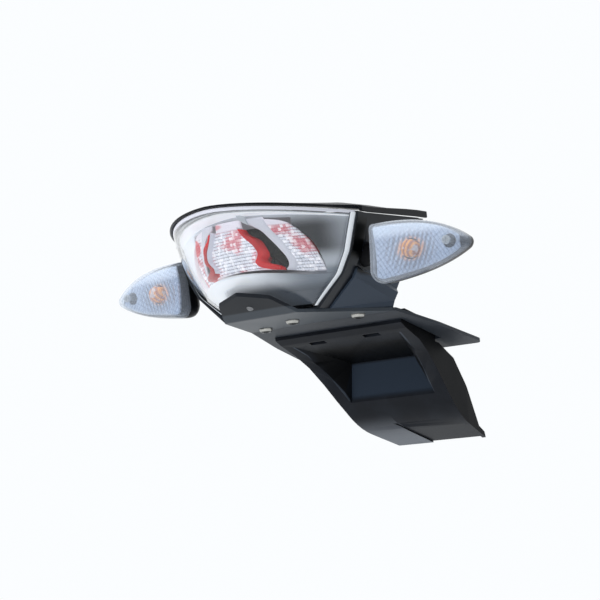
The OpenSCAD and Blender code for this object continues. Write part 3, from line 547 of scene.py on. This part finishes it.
FINISH = {
    "plate": powder_coat(),
    "bolt": socket_steel(),
    "rivet": dull_alloy(),
    "tray": tray_plastic(),
    "panel": panel_plastic("satin_panel_plastic", 1.0),
    "surround": panel_plastic("satin_surround_plastic", 0.0),
    "cowl": moulded_black("satin_cowl_plastic", tone(11, 13, 17), tone(18, 21, 26), 0.26, 0.03),
    "housing": moulded_black("housing_plastic", tone(30, 31, 33), tone(38, 39, 41), 0.5, 0.08),
    "silver": silver_coat(),
    "seal": moulded_black("seal_rubber", tone(20, 20, 21), tone(28, 28, 29), 0.7, 0.08),
    "lens": lens_plastic(),
    "inner": fluted_plastic(),
    "band": pale_gloss("pale_silver_band", tone(208, 210, 220), 0.2, 0.1, 0.3),
    "liner": pale_gloss("pale_roof_liner", tone(236, 239, 243), 0.3, 0.0, 0.6),
    "clip": pale_gloss("pale_clip_metal", tone(178, 184, 190), 0.3, 0.6),
    "border": pale_gloss("white_lens_border", tone(226, 231, 236), 0.15, 0.0, 0.35),
    "bead": pale_gloss("grey_lens_bead", tone(96, 102, 110), 0.2, 0.3, 0.0),
    "divider": moulded_black("gloss_divider_plastic", tone(8, 8, 10), tone(14, 14, 16), 0.2, 0.01),
    "red": strip_plastic(),
    "red_bulb": red_glass(),
    "holder": moulded_black("holder_plastic", tone(34, 34, 36), tone(44, 44, 46), 0.5, 0.08),
    "ind_lens": ribbed_plastic(),
    "ind_ribs": ribbed_reflector(),
    "ind_body": moulded_black("satin_indicator_plastic", tone(20, 21, 24), tone(30, 31, 34), 0.24, 0.02),
    "amber": amber_glass(),
    "stem": moulded_black("stem_rubber", tone(20, 20, 22), tone(30, 30, 32), 0.5, 0.08),
    "nut": bright_steel(),
}


# Mesh making

def piece(name, mesh, finish, nodes=(), angle=32):
    """A finished piece from a mesh in metres, riding on the part's one body."""
    mesh.materials.clear()
    mesh.materials.append(FINISH[finish])
    mesh.shade_smooth()
    mesh.set_sharp_from_angle(angle=math.radians(angle))
    made = bpy.data.objects.new(name, mesh)
    bpy.context.scene.collection.objects.link(made)
    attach(made, "root")
    if nodes:
        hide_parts(*nodes)
    return made


def edited(mesh, distance, edit):
    """The mesh with its doubles merged and an edit of its bmesh applied."""
    b = bmesh.new()
    b.from_mesh(mesh)
    bmesh.ops.remove_doubles(b, verts=b.verts, dist=distance)
    edit(b)
    b.to_mesh(mesh)
    b.free()
    return mesh


def solid(name, points, faces):
    """Closed mesh from points in millimetres, with its faces turned outwards."""
    mesh = bpy.data.meshes.new(name)
    mesh.from_pydata([tuple(p) for p in np.asarray(points, float) * MM], [], faces)
    return edited(mesh, 1e-7, lambda b: bmesh.ops.recalc_face_normals(b, faces=b.faces))


def shell(name, face, back):
    """Closed mesh between two grids of points."""
    rows, cols = face.shape[:2]
    count = rows * cols
    index = np.arange(count).reshape(rows, cols)
    a, b, c, d = index[:-1, :-1], index[:-1, 1:], index[1:, 1:], index[1:, :-1]
    faces = np.stack([a, b, c, d], -1).reshape(-1, 4).tolist()
    faces += (np.stack([a, d, c, b], -1).reshape(-1, 4) + count).tolist()
    rim = np.concatenate([index[0, :], index[1:, -1], index[-1, -2::-1], index[-2:0:-1, 0]])
    for p, q in zip(rim, np.roll(rim, -1)):
        faces.append([int(p), int(p + count), int(q + count), int(q)])
    return solid(name, np.concatenate([face.reshape(-1, 3), back.reshape(-1, 3)]), faces)


def loft(name, rings):
    """Closed mesh through rings of points, with a fan over each end."""
    rings = np.asarray(rings, float)
    count = rings.shape[1]
    faces = []
    for k in range(len(rings) - 1):
        for i in range(count):
            j = (i + 1) % count
            faces.append([k * count + i, k * count + j, (k + 1) * count + j, (k + 1) * count + i])
    ends = [rings[0].mean(0), rings[-1].mean(0)]
    first = len(rings) * count
    for i in range(count):
        j = (i + 1) % count
        faces.append([i, first, j])
        faces.append([first - count + i, first - count + j, first + 1])
    return solid(name, np.concatenate([rings.reshape(-1, 3), ends]), faces)


def bulb_glass(radius, place):
    """Glass of a bulb that points rearwards from place: a neck under a dome."""
    turn = Vector((0, -1, 0)).to_track_quat("Z", "Y").to_matrix()
    profile = [(radius, 0), (radius, radius)]
    profile += [(radius * math.cos(a), radius * (1 + math.sin(a))) for a in np.linspace(0.1, 1.5, 12)]
    angles = np.linspace(0, 2 * math.pi, 48, endpoint=False)
    rings = [[np.array(turn @ Vector((r * math.cos(t), r * math.sin(t), h))) + place for t in angles]
             for r, h in profile]
    return loft("bulb_glass", rings)


def dressed(node, finish, edge, angle=24):
    """A CAD node's own shape with its edges rounded."""
    def flatten(b):
        bmesh.ops.dissolve_limit(b, angle_limit=math.radians(1.0), verts=b.verts, edges=b.edges)
    mesh = edited(NODES[node].data.copy(), 2e-6, flatten)
    made = piece(node + "_dressed", mesh, finish, [node], angle)
    rounding = made.modifiers.new("edges", "BEVEL")
    rounding.width = edge * MM
    rounding.segments = 2
    rounding.limit_method = "ANGLE"
    rounding.angle_limit = math.radians(angle)
    rounding.harden_normals = True


def curve_through(table):
    """Smooth curve through the table's points: height and value."""
    heights, values = np.array(table, float).T
    slopes = np.gradient(values, heights)

    def at(z):
        z = np.clip(np.asarray(z, float), heights[0], heights[-1])
        k = np.clip(np.searchsorted(heights, z) - 1, 0, len(heights) - 2)
        step = heights[k + 1] - heights[k]
        t = (z - heights[k]) / step
        return ((2 * t ** 3 - 3 * t ** 2 + 1) * values[k] + (t ** 3 - 2 * t ** 2 + t) * step * slopes[k]
                + (3 * t ** 2 - 2 * t ** 3) * values[k + 1] + (t ** 3 - t ** 2) * step * slopes[k + 1])
    return at


def smooth(t):
    t = np.clip(t, 0, 1)
    return t * t * (3 - 2 * t)


# Tail lamp

def lens_half(z):
    """Half the lens's width at a height."""
    heights, halves = np.array(LENS_SIDE).T
    return np.mean([np.interp(z + d, heights, halves) for d in (-LENS_SIDE_EASE, 0, LENS_SIDE_EASE)], axis=0)


def lens_rise(z):
    """Share of the lens's bulge that is reached at a height."""
    inner_power, outer_power = RISE_POWERS
    z = np.clip(z, 0.5, LENS_TOP_Z)
    return (1 - (1 - z / (LENS_TOP_Z + 2)) ** inner_power) ** (1 / outer_power)


def crowned(z, u):
    """Height of a row of the lens at a share u of its half width."""
    return z - LENS_CROWN * (z / LENS_TOP_Z) ** 2 * np.abs(u) ** CROWN_POWER


def bulge_y(x, z, rim_y, share, trim):
    """Depth of a face that bulges as the lens does, by a share of it."""
    across = np.minimum(np.abs(x) / (lens_half(z) - trim), 1)
    return rim_y - share * LENS_BULGE * lens_rise(z) * (1 - across ** PLAN_POWER)


def lens_grid(inset):
    """Rows of the lens from its foot, over its rolled top edge and forwards along its roof."""
    u = np.linspace(-1, 1, 121)
    roll_z = LENS_TOP_Z - ROOF_DROP
    rows = [(z, 1.0) for z in np.linspace(LENS_FOOT_Z, roll_z, 70)]
    for turn in np.linspace(0, math.pi / 2, 7)[1:]:
        rows.append((roll_z + ROOF_ROLL * math.sin(turn), 1 - 0.03 * (1 - math.cos(turn))))
    rows += [(roll_z + ROOF_ROLL, share) for share in (0.85, 0.6, 0.3, 0.12)]
    grid = []
    for z, share in rows:
        roof = share < 1
        edge = min(z, LENS_TOP_Z)
        half = lens_half(crowned(edge, 1)) - inset
        deep = (LENS_BULGE * lens_rise(edge) - inset) * share
        across = half * u * (0.98 + 0.02 * share if roof else 1)
        grid.append(np.stack([across, LENS_RIM_Y - deep * (1 - np.abs(u) ** PLAN_POWER),
                              crowned(z, u) - (inset if roof else 0)], -1))
    return np.array(grid)


def bowl_half(z):
    """Half the silver bowl's width at a height."""
    return lens_half(crowned(z, 1)) - 3.2 - np.maximum(22 - z, 0) * 0.18


def bowl_grid(back):
    """Silver bowl: a shelf below, a bezel at the sides and a sunk dish behind the inner lenses."""
    outer = curve_through(OUTER_EDGE[:6])
    z = np.concatenate([np.linspace(*span) for span in BOWL_ROWS])
    u = np.concatenate([np.linspace(*span) for span in BOWL_COLUMNS])
    u = np.concatenate([-u[:0:-1], u])
    zz, uu = np.meshgrid(z, u, indexing="ij")
    half = bowl_half(zz)
    edge = np.minimum(outer(zz) + 1, 0.84 * half)
    size = np.abs(uu)
    x = np.where(size <= 1, size * edge, np.where(
        size <= BEZEL_END, edge + (size - 1) / (BEZEL_END - 1) * BEZEL_W,
        edge + BEZEL_W + (half - edge - BEZEL_W) * (size - BEZEL_END) / (2 - BEZEL_END)))
    foot = inner_foot(x) - SHELF_BELOW
    shelf = 1 - smooth((zz - foot) / DISH_EASE)
    bowl_share, shelf_share = BOWL_SHARES
    skin = bulge_y(x, zz, LENS_RIM_Y + BOWL_BEHIND_RIM, bowl_share + shelf_share * shelf, BOWL_TRIM)
    sunk = smooth((1.08 - size) / 0.07) * smooth((zz - foot - 0.2) / DISH_EASE)
    sunk = sunk * (1 - smooth((zz - DISH_TOP_Z) / 1.6))
    y = skin + (np.maximum(skin, DISH_Y) - skin) * sunk + back
    return np.stack([np.sign(uu) * x, y, crowned(zz, x / half)], -1)


def inner_foot(x):
    """Height of the inner face's lower edge."""
    return INNER_FOOT_Z + INNER_FOOT_RISE * (1 - np.minimum(np.abs(x) / 45, 1) ** 2)


def inner_patch(name, left, right, lift, wall, cols, rows=44, z0=INNER_FOOT_Z, z1=INNER_TOP_Z, mirror=1,
                cells=0):
    """A strip of the lamp's inner face between two edges. With cells, its lattice comes from a node tree."""
    zz, tt = np.meshgrid(np.linspace(0, 1, rows), np.linspace(0, 1, cols), indexing="ij")
    level = z0 + (z1 - z0) * zz
    x = left(level) + (right(level) - left(level)) * tt
    low = np.maximum(z0, inner_foot(x))
    z = low + (z1 - low) * zz
    edge = np.minimum(np.minimum(tt, 1 - tt) * (right(level) - left(level)), np.minimum(z - low, z1 - z))
    pillow = 0.5 * (1 - np.sqrt(np.clip(1 - (1 - np.clip(edge / 1.2, 0, 1)) ** 2, 0, 1)))
    skin = bulge_y(x, z, INNER_RIM_Y, INNER_SHARE, INNER_TRIM) - lift
    face = np.stack([mirror * x, skin + pillow, z], -1)
    back = np.stack([mirror * x, skin + wall, z], -1)
    mesh = shell(name, face, back)
    if not cells:
        return mesh
    ridge = np.interp(np.abs(x), *np.array(LATTICE_TOP, float).T)
    share = smooth((ridge - z) / 1.5) * smooth(edge / 0.8)
    return latticed(mesh, tt * cells, z / CELL_H, share)


class Growth:
    """A geometry tree being made, with a geometry in and out and named number inputs."""

    def __init__(self, name, *inputs):
        self.tree = bpy.data.node_groups.new(name, "GeometryNodeTree")
        sockets = self.tree.interface
        sockets.new_socket("Geometry", in_out="INPUT", socket_type="NodeSocketGeometry")
        sockets.new_socket("Geometry", in_out="OUTPUT", socket_type="NodeSocketGeometry")
        for label in inputs:
            sockets.new_socket(label, in_out="INPUT", socket_type="NodeSocketFloat")
        self.source = self.tree.nodes.new("NodeGroupInput")
        self.sink = self.tree.nodes.new("NodeGroupOutput")

    def given(self, label):
        return Value(self.tree, self.source.outputs[label])

    def node(self, kind, inputs=None, output=0, **settings):
        return add_node(self.tree, "GeometryNode" + kind, inputs, output, **settings)

    def done(self, shape, finish):
        """Ends the tree with its instances made real and its finish set."""
        real = self.node("RealizeInstances", {"Geometry": shape})
        painted = self.node("SetMaterial", {"Geometry": real, "Material": FINISH[finish]})
        plug(self.tree, self.sink.inputs["Geometry"], painted)
        return self.tree


def run_nodes(mesh, tree, values):
    """The mesh that a geometry tree makes of another one, with the tree's inputs set by name."""
    carrier = bpy.data.objects.new(tree.name + "_carrier", mesh)
    bpy.context.scene.collection.objects.link(carrier)
    modifier = carrier.modifiers.new("nodes", "NODES")
    modifier.node_group = tree
    for item in tree.interface.items_tree:
        if item.in_out == "INPUT" and item.name in values:
            modifier[item.identifier] = values[item.name]
    bpy.context.view_layer.update()
    made = bpy.data.meshes.new_from_object(carrier.evaluated_get(bpy.context.evaluated_depsgraph_get()))
    bpy.data.objects.remove(carrier)
    return made


def lattice_tree():
    """Raises a domed cell wherever the stored counts across and up pass through a whole number."""
    g = Growth("lattice", "Cell depth")

    def stored(label):
        return g.node("InputNamedAttribute", {"Name": label}, "Attribute", data_type="FLOAT")

    def dome(count):
        off = count.math("FRACT") - 0.5
        return 1 - off * off * 4
    height = dome(stored("across")) * dome(stored("up")) * stored("share") * g.given("Cell depth")
    offset = add_node(g.tree, "ShaderNodeVectorMath", {0: g.node("InputNormal"), "Scale": height},
                      operation="SCALE")
    return g.done(g.node("SetPosition", {"Geometry": g.given("Geometry"), "Offset": offset}), "inner")


def latticed(mesh, across, up, share):
    """Runs the lattice tree on a shell, whose back stays smooth."""
    spare = len(mesh.vertices) - share.size
    counts = {"across": across, "up": up, "share": share}
    for label, values in counts.items():
        stored = mesh.attributes.new(label, "FLOAT", "POINT")
        stored.data.foreach_set("value", np.concatenate([values.ravel(), np.zeros(spare)]))
    made = run_nodes(mesh, LATTICE, {"Cell depth": CELL_DEPTH * MM})
    for label in counts:
        made.attributes.remove(made.attributes[label])
    return made


LATTICE = lattice_tree()


def thread_tree():
    """A helical ridge that climbs from the origin."""
    g = Growth("thread", "Radius", "Pitch", "Turns", "Ridge")
    radius, pitch, turns, ridge = (g.given(label) for label in ("Radius", "Pitch", "Turns", "Ridge"))
    helix = g.node("CurveSpiral", {"Resolution": 32, "Rotations": turns, "Start Radius": radius,
                                   "End Radius": radius, "Height": pitch * turns})
    section = g.node("CurvePrimitiveCircle", {"Resolution": 6, "Radius": ridge})
    return g.done(g.node("CurveToMesh", {"Curve": helix, "Profile Curve": section, "Fill Caps": True}), "nut")


def build_threads():
    """Threads on the studs, from one tree."""
    tree = thread_tree()
    values = {"Radius": THREAD_R * MM, "Pitch": THREAD_PITCH * MM, "Turns": THREAD_TURNS,
              "Ridge": (STUD_R - THREAD_R) * MM}
    for k, (x, y) in enumerate(BOLT_PLACES):
        thread = run_nodes(bpy.data.meshes.new("stud_axis"), tree, values)
        thread.transform(Matrix.Translation(Vector((x, y, THREAD_FOOT_Z)) * MM))
        piece(f"stud_thread_{k + 1}", thread, "nut", (), 60)


def build_inner():
    """Fluted inner lenses, and the waves of red and black between them."""
    outer, flutes = curve_through(OUTER_EDGE), curve_through(FLUTE_EDGE)
    black_out, black_in = curve_through(BLACK_OUT), curve_through(BLACK_IN)
    red_out, red_in = curve_through(RED_OUT), curve_through(RED_IN)

    def beside(curve, gap):
        return lambda z: curve(z) + gap

    def fluted(where, left, right, cells, sign=1):
        shape = inner_patch("inner_" + where, left, right, 0, INNER_WALL, 6 * cells + 1, rows=110,
                            mirror=sign, cells=cells)
        piece("inner_" + where, shape, "inner", ["inner_lens_" + where], 80)
    middle = beside(red_in, -0.6)
    fluted("centre", lambda z: -middle(z), middle, 2 * CELLS)
    waves = (("divider_wave_", black_in, black_out, -0.5, 2.5, "divider", "divider_black", "divider_"),
             ("red_wave_", red_in, red_out, 7, 9, "red", "red_plastic", "red_strip_"))
    for side, sign in SIDES:
        fluted(side, flutes, outer, CELLS, sign)
        band = inner_patch("band", beside(black_out, 0.2), beside(flutes, -0.1), 0.3, 1.5, 12, mirror=sign)
        piece("silver_band_" + side, band, "band", (), 50)
        wall = inner_patch("wall", beside(red_in, -0.45), beside(red_in, -0.05), 6.5, 8, 4, mirror=sign,
                           z1=60)
        piece("pale_wall_" + side, wall, "band", (), 40)
        for name, near, far, lift, thick, finish, slot, node in waves:
            wave = inner_patch(name, near, far, lift, thick, 14, rows=70, mirror=sign, z0=WAVE_FOOT_Z,
                               z1=WAVE_TOP_Z)
            piece(name + side, wave, finish, [node + side], 50)


def build_liner():
    """Pale roof inside the lens, under the cover."""
    u, share = np.meshgrid(np.linspace(-0.97, 0.97, 60), np.linspace(0.04, 0.93, 24), indexing="ij")
    half = lens_half(crowned(LENS_TOP_Z, 1)) - LINER_INSET
    y = LENS_RIM_Y - share * (LENS_BULGE - LINER_BACK) * (1 - np.abs(u) ** PLAN_POWER)
    face = np.stack([half * u, y, crowned(LENS_TOP_Z, u) - LINER_DROP], -1)
    liner = shell("roof_liner", face, face + (0, 0, LINER_T))
    piece("roof_liner", liner, "liner", (), 50)


def build_clip():
    """Blade of the clip, laid over the inner face between its four corners."""
    up, across = np.meshgrid(np.linspace(0, 1, 9), np.linspace(0, 1, 9), indexing="ij")
    foot_near, foot_far, top_near, top_far = np.array(CLIP_CORNERS)[:, :, None, None]
    foot = foot_near + (foot_far - foot_near) * across
    top = top_near + (top_far - top_near) * across
    x, z = foot * (1 - up) + top * up
    face = np.stack([x, bulge_y(x, z, INNER_RIM_Y, INNER_SHARE, INNER_TRIM) - CLIP_T, z], -1)
    piece("clip_blade", shell("clip_blade", face, face + (0, CLIP_T, 0)), "clip",
          ["centre_clip"], 40)


def build_rim():
    """Pale border of the lens beside the bowl, between two fine lines."""
    z = np.linspace(RIM_FOOT_Z, LENS_TOP_Z - ROOF_DROP, 90)
    strips = (("rim_edge_", 0.25, 0.75, 0.25, "bead"), ("rim_border_", 0.75, 2.7, 0.35, "border"),
              ("rim_line_", 2.7, 3.15, 0.15, "bead"))
    for side, sign in SIDES:
        for name, near, far, lift, finish in strips:
            zz, ii = np.meshgrid(z, np.linspace(near, far, 8), indexing="ij")
            half = lens_half(crowned(zz, 1))
            u = 1 - ii / half
            y = LENS_RIM_Y - LENS_BULGE * lens_rise(zz) * (1 - u ** PLAN_POWER)
            bead = lift * np.sin(math.pi * (ii - near) / (far - near)) ** 0.5
            face = np.stack([sign * (half * u + 0.6 * bead), y - 0.6 * bead, crowned(zz, u)], -1)
            back = np.stack([sign * (half * u - RIM_T), y + RIM_T, crowned(zz, u)], -1)
            piece(name + side, shell(name, face, back), finish, (), 50)
    zz, u = np.meshgrid(np.linspace(LENS_TOP_Z - 2.4, LENS_TOP_Z + 0.2, 8), np.linspace(-0.985, 0.985, 120),
                        indexing="ij")
    half = lens_half(crowned(zz, 1))
    bead = 0.3 * np.sin(math.pi * (zz - zz.min()) / (zz.max() - zz.min())) ** 0.5
    y = LENS_RIM_Y - (LENS_BULGE * lens_rise(zz) + bead) * (1 - np.abs(u) ** PLAN_POWER)
    face = np.stack([half * u, y, crowned(zz, u)], -1)
    piece("rim_top", shell("rim_top", face, face + (0, RIM_TOP_T, 0)), "band", (), 50)


def build_lamp():
    piece("lens_skin", shell("lens_skin", lens_grid(0), lens_grid(LENS_WALL)), "lens",
          ["lamp_lens"], 50)
    piece("bowl_skin", shell("bowl_skin", bowl_grid(0), bowl_grid(BOWL_WALL)), "silver",
          ["lamp_reflector"], 40)
    build_inner()
    build_liner()
    build_clip()
    build_rim()
    for where, x in (("centre", 0), ("right", BULB_SIDE_X), ("left", -BULB_SIDE_X)):
        piece("bulb_glass_" + where, bulb_glass(BULB_R, (x, DISH_Y - 3, BULB_Z)), "red_bulb",
              ["tail_bulb_" + where], 60)
        repaint("bulb_holder_" + where, "holder")
    repaint("lamp_housing", "housing")
    repaint("lens_seal", "seal")


def repaint(node, finish):
    """A CAD node that keeps its own mesh gets its finish."""
    NODES[node].data.materials.clear()
    NODES[node].data.materials.append(FINISH[finish])


# Indicators

# Corners of the indicator's outline, each with the control point and the count of steps to the next
IND_OUTLINE = (((3, 55), (50, 57), 36), ((74, 35.5), (76.5, 32), 12), ((73, 28.5), (50, 14.5), 36),
               ((7, 11), (0, 11), 12), ((-1.8, 19), (-0.5, 34), 24), ((0, 51), (0.3, 55), 12))
# Steps of the lens and the body: number, share of the depth and share of the outline
LENS_PROFILE = ((0, 0, 1), (1, 0.25, 0.985), (2, 0.5, 0.94), (3, 0.72, 0.85), (4, 0.88, 0.72),
                (5, 0.97, 0.52), (6, 1, 0.25))
BODY_PROFILE = ((0, 0, 1), (1, 0.3, 0.99), (2, 0.6, 0.93), (3, 0.85, 0.78), (4, 1, 0.55))


def ind_outline():
    parts = []
    for k, (start, control, steps) in enumerate(IND_OUTLINE):
        end = IND_OUTLINE[(k + 1) % len(IND_OUTLINE)][0]
        t = np.linspace(0, 1, steps, endpoint=False)[:, None]
        a, b, c = (np.array(p, float) for p in (start, control, end))
        parts.append((1 - t) ** 2 * a + 2 * t * (1 - t) * b + t * t * c)
    return np.concatenate(parts)


def ind_ring(outline, y, share, inset=0.0):
    """The outline drawn in towards its middle, at a depth."""
    offset = outline - IND_MID
    reach = np.linalg.norm(offset, axis=1, keepdims=True)
    flat = IND_MID + offset * share * (reach - inset) / reach
    return np.column_stack([flat[:, 0], np.full(len(flat), y), flat[:, 1]])


def ind_shell(name, profile, depth, wall):
    """Closed dome on the indicator's outline: its outer skin, then its inner one."""
    outline = ind_outline()
    steps = np.array(profile, float)
    deep = curve_through(steps[:, (0, 1)])
    share = curve_through(steps[:, (0, 2)])
    t = np.linspace(steps[-1, 0], 0, 30)
    away = -math.copysign(1, depth)
    outer = [ind_ring(outline, away * deep(k) * abs(depth), share(k)) for k in t]
    inner = [ind_ring(outline, away * deep(k) * (abs(depth) - wall), share(k), wall) for k in t[::-1]]
    return loft(name, outer + inner)


def at_side(mesh, sign):
    """Puts a mesh drawn as an indicator, in metres, in its place on one side."""
    place = Matrix.Translation(Vector((IND_PLACE[0], IND_PLACE[1], 0)) * MM)
    mesh.transform(place @ Matrix.Rotation(math.radians(IND_SWEEP), 4, "Z"))
    if sign < 0:
        mesh.transform(Matrix.Diagonal((-1, 1, 1, 1)))
        mesh.flip_normals()
    return mesh


def build_indicators():
    for side, sign in SIDES:
        lens = ind_shell("lens", LENS_PROFILE, IND_LENS_BULGE, IND_WALL)
        piece("indicator_glass_" + side, at_side(lens, sign), "ind_lens",
              ["indicator_lens_" + side], 60)
        body = ind_shell("body", BODY_PROFILE, -IND_BODY_DEPTH, IND_WALL)
        piece("indicator_back_" + side, at_side(body, sign), "ind_body",
              ["indicator_body_" + side], 50)
        bulb = bulb_glass(IND_BULB_R, (IND_BULB_AT[0], 1, IND_BULB_AT[1]))
        piece("amber_glass_" + side, at_side(bulb, sign), "amber",
              ["indicator_bulb_" + side], 60)
        for node, finish in (("indicator_holder_", "holder"), ("indicator_stem_", "stem"),
                             ("stem_nut_", "nut"), ("lens_screw_", "bolt"),
                             ("indicator_reflector_", "ind_ribs")):
            repaint(node + side, finish)


# Plate, tray and cowl

def build_plate():
    dressed("main_plate", "plate", edge=0.5)
    dressed("plate_bolts", "bolt", edge=0.15, angle=35)
    build_threads()
    repaint("tongue_rivet", "rivet")
    dressed("undertray", "tray", edge=0.6)


def build_cowl():
    """The cowl's mouldings, and thin lips behind their joints, which would let light through."""
    for node, finish in (("lamp_surround", "surround"), ("side_panel_right", "panel"),
                         ("side_panel_left", "panel"), ("tail_cover", "cowl")):
        dressed(node, finish, COWL_EDGE)
    section = np.array(PANEL_REAR, float)
    height = np.linspace(*LIP_Z, 30)
    edge = np.interp(height, section[:, 1], section[:, 0])
    for side, sign in SIDES:
        face, back = (np.stack([np.stack([sign * (edge - inset), 0 * edge + y, height], -1)
                                for inset in (LIP_INSET, LIP_W)], 1) for y in LIP_Y)
        piece("panel_lip_" + side, shell("lip", face, back), "cowl", (), 30)
        y = np.linspace(-39, ARM_REACH - 3.5, 24)
        top = np.interp(y, (-40, ARM_REACH - 2), PANEL_TOP)
        face, back = (np.stack([np.stack([0 * y + sign * x, y, top + rise], -1) for rise in TOP_LIP_RISE], 1)
                      for x in TOP_LIP_X)
        piece("panel_top_lip_" + side, shell("top_lip", face, back), "cowl", (), 30)


# Stage, lamps and camera

BACKDROP = (0.965, 0.985, 1.0, 1.0)


def seen_share(tree):
    """1 for the rays that show the background: to the camera, through the object or mirrored by it."""
    to_camera, through, mirrored = (add_node(tree, "ShaderNodeLightPath", output=f"Is {kind} Ray")
                                    for kind in ("Camera", "Transmission", "Glossy"))
    return to_camera.math("MAXIMUM", through).math("MAXIMUM", mirrored)


def build_floor():
    """Pale floor that fades into the background away from the object and keeps its shadow near it."""
    mesh = bpy.data.meshes.new("floor")
    reach, level = FLOOR_REACH * MM, FLOOR_Z * MM
    mesh.from_pydata([(-reach, -reach, level), (reach, -reach, level), (reach, reach, level),
                      (-reach, reach, level)], [], [(0, 1, 2, 3)])
    floor = bpy.data.objects.new("floor", mesh)
    bpy.context.scene.collection.objects.link(floor)
    f = Finish("pale_floor")
    seen = seen_share(f.tree)
    near = squared(*f.axes("xy")).rise(4.8e6, 1.0e6)
    lit = f.surface(Base_Color=f.blend(seen, (0.36, 0.38, 0.41, 1), (0.95, 0.97, 0.985, 1)), Roughness=0.9)
    bright = f.node("Emission", {"Color": BACKDROP})
    mesh.materials.append(f.mixed(seen * (1 - near * 0.6), lit, bright))


def build_world():
    """Soft light from above, weaker from the right, behind the plain background."""
    world = bpy.data.worlds.new("studio")
    world.use_nodes = True
    tree = world.node_tree
    background = tree.nodes["Background"]
    away = split_axes(tree, add_node(tree, "ShaderNodeNewGeometry", output="Incoming"))
    aside = (away["x"] * -1).rise(0.1, 0.9)
    studio = ((away["z"] * -1).rise(-0.35, 0.75) * 0.75 + 0.16) * (1 - aside * 0.55)
    seen = seen_share(tree)
    plug(tree, background.inputs["Strength"], studio * (1 - seen) + seen)
    background.inputs["Color"].default_value = BACKDROP
    bpy.context.scene.world = world


# Name, place, target, width, height and power of each softbox, in metres and watts
SOFTBOXES = (("top_light", (0.1, -0.5, 1.3), (0, 0, 0), 1.4, 1.4, 16),
             ("rear_light", (-0.7, -1.3, 0.5), (0, 0, 0), 0.9, 0.9, 9),
             ("low_light", (0.2, -1.2, -0.3), (0, 0.05, 0), 0.8, 0.5, 2.5))


def softbox(name, place, target, width, height, power):
    """An area lamp that faces a target."""
    lamp = bpy.data.lights.new(name, "AREA")
    lamp.shape = "RECTANGLE"
    lamp.size = width
    lamp.size_y = height
    lamp.energy = power
    made = bpy.data.objects.new(name, lamp)
    made.location = place
    made.rotation_euler = (Vector(target) - Vector(place)).to_track_quat("-Z", "Y").to_euler()
    made.visible_glossy = False
    bpy.context.scene.collection.objects.link(made)


CAMERA_AT = (621.0, -934.6, -118.3)
CAMERA_RIGHT = (0.8204, 0.5650, -0.0878)
CAMERA_AHEAD = (-0.5547, 0.8237, 0.1179)
SENSOR_W = 36.0
FOCAL_PER_WIDTH = 1462 / 600


def build_camera():
    """The photograph's camera."""
    right, ahead = (Vector(way).normalized() for way in (CAMERA_RIGHT, CAMERA_AHEAD))
    up = right.cross(ahead).normalized()
    right = ahead.cross(up).normalized()
    data = bpy.data.cameras.new("camera")
    data.sensor_width = SENSOR_W
    data.lens = FOCAL_PER_WIDTH * SENSOR_W
    data.clip_start = 0.05
    camera = bpy.data.objects.new("camera", data)
    turn = Matrix((right, up, -ahead)).transposed().to_4x4()
    camera.matrix_world = Matrix.Translation(Vector(CAMERA_AT) * MM) @ turn
    bpy.context.scene.collection.objects.link(camera)
    bpy.context.scene.camera = camera


build_lamp()
build_indicators()
build_plate()
build_cowl()
build_floor()
build_world()
for lamp in SOFTBOXES:
    softbox(*lamp)
build_camera()
bpy.context.scene.view_settings.view_transform = "Standard"
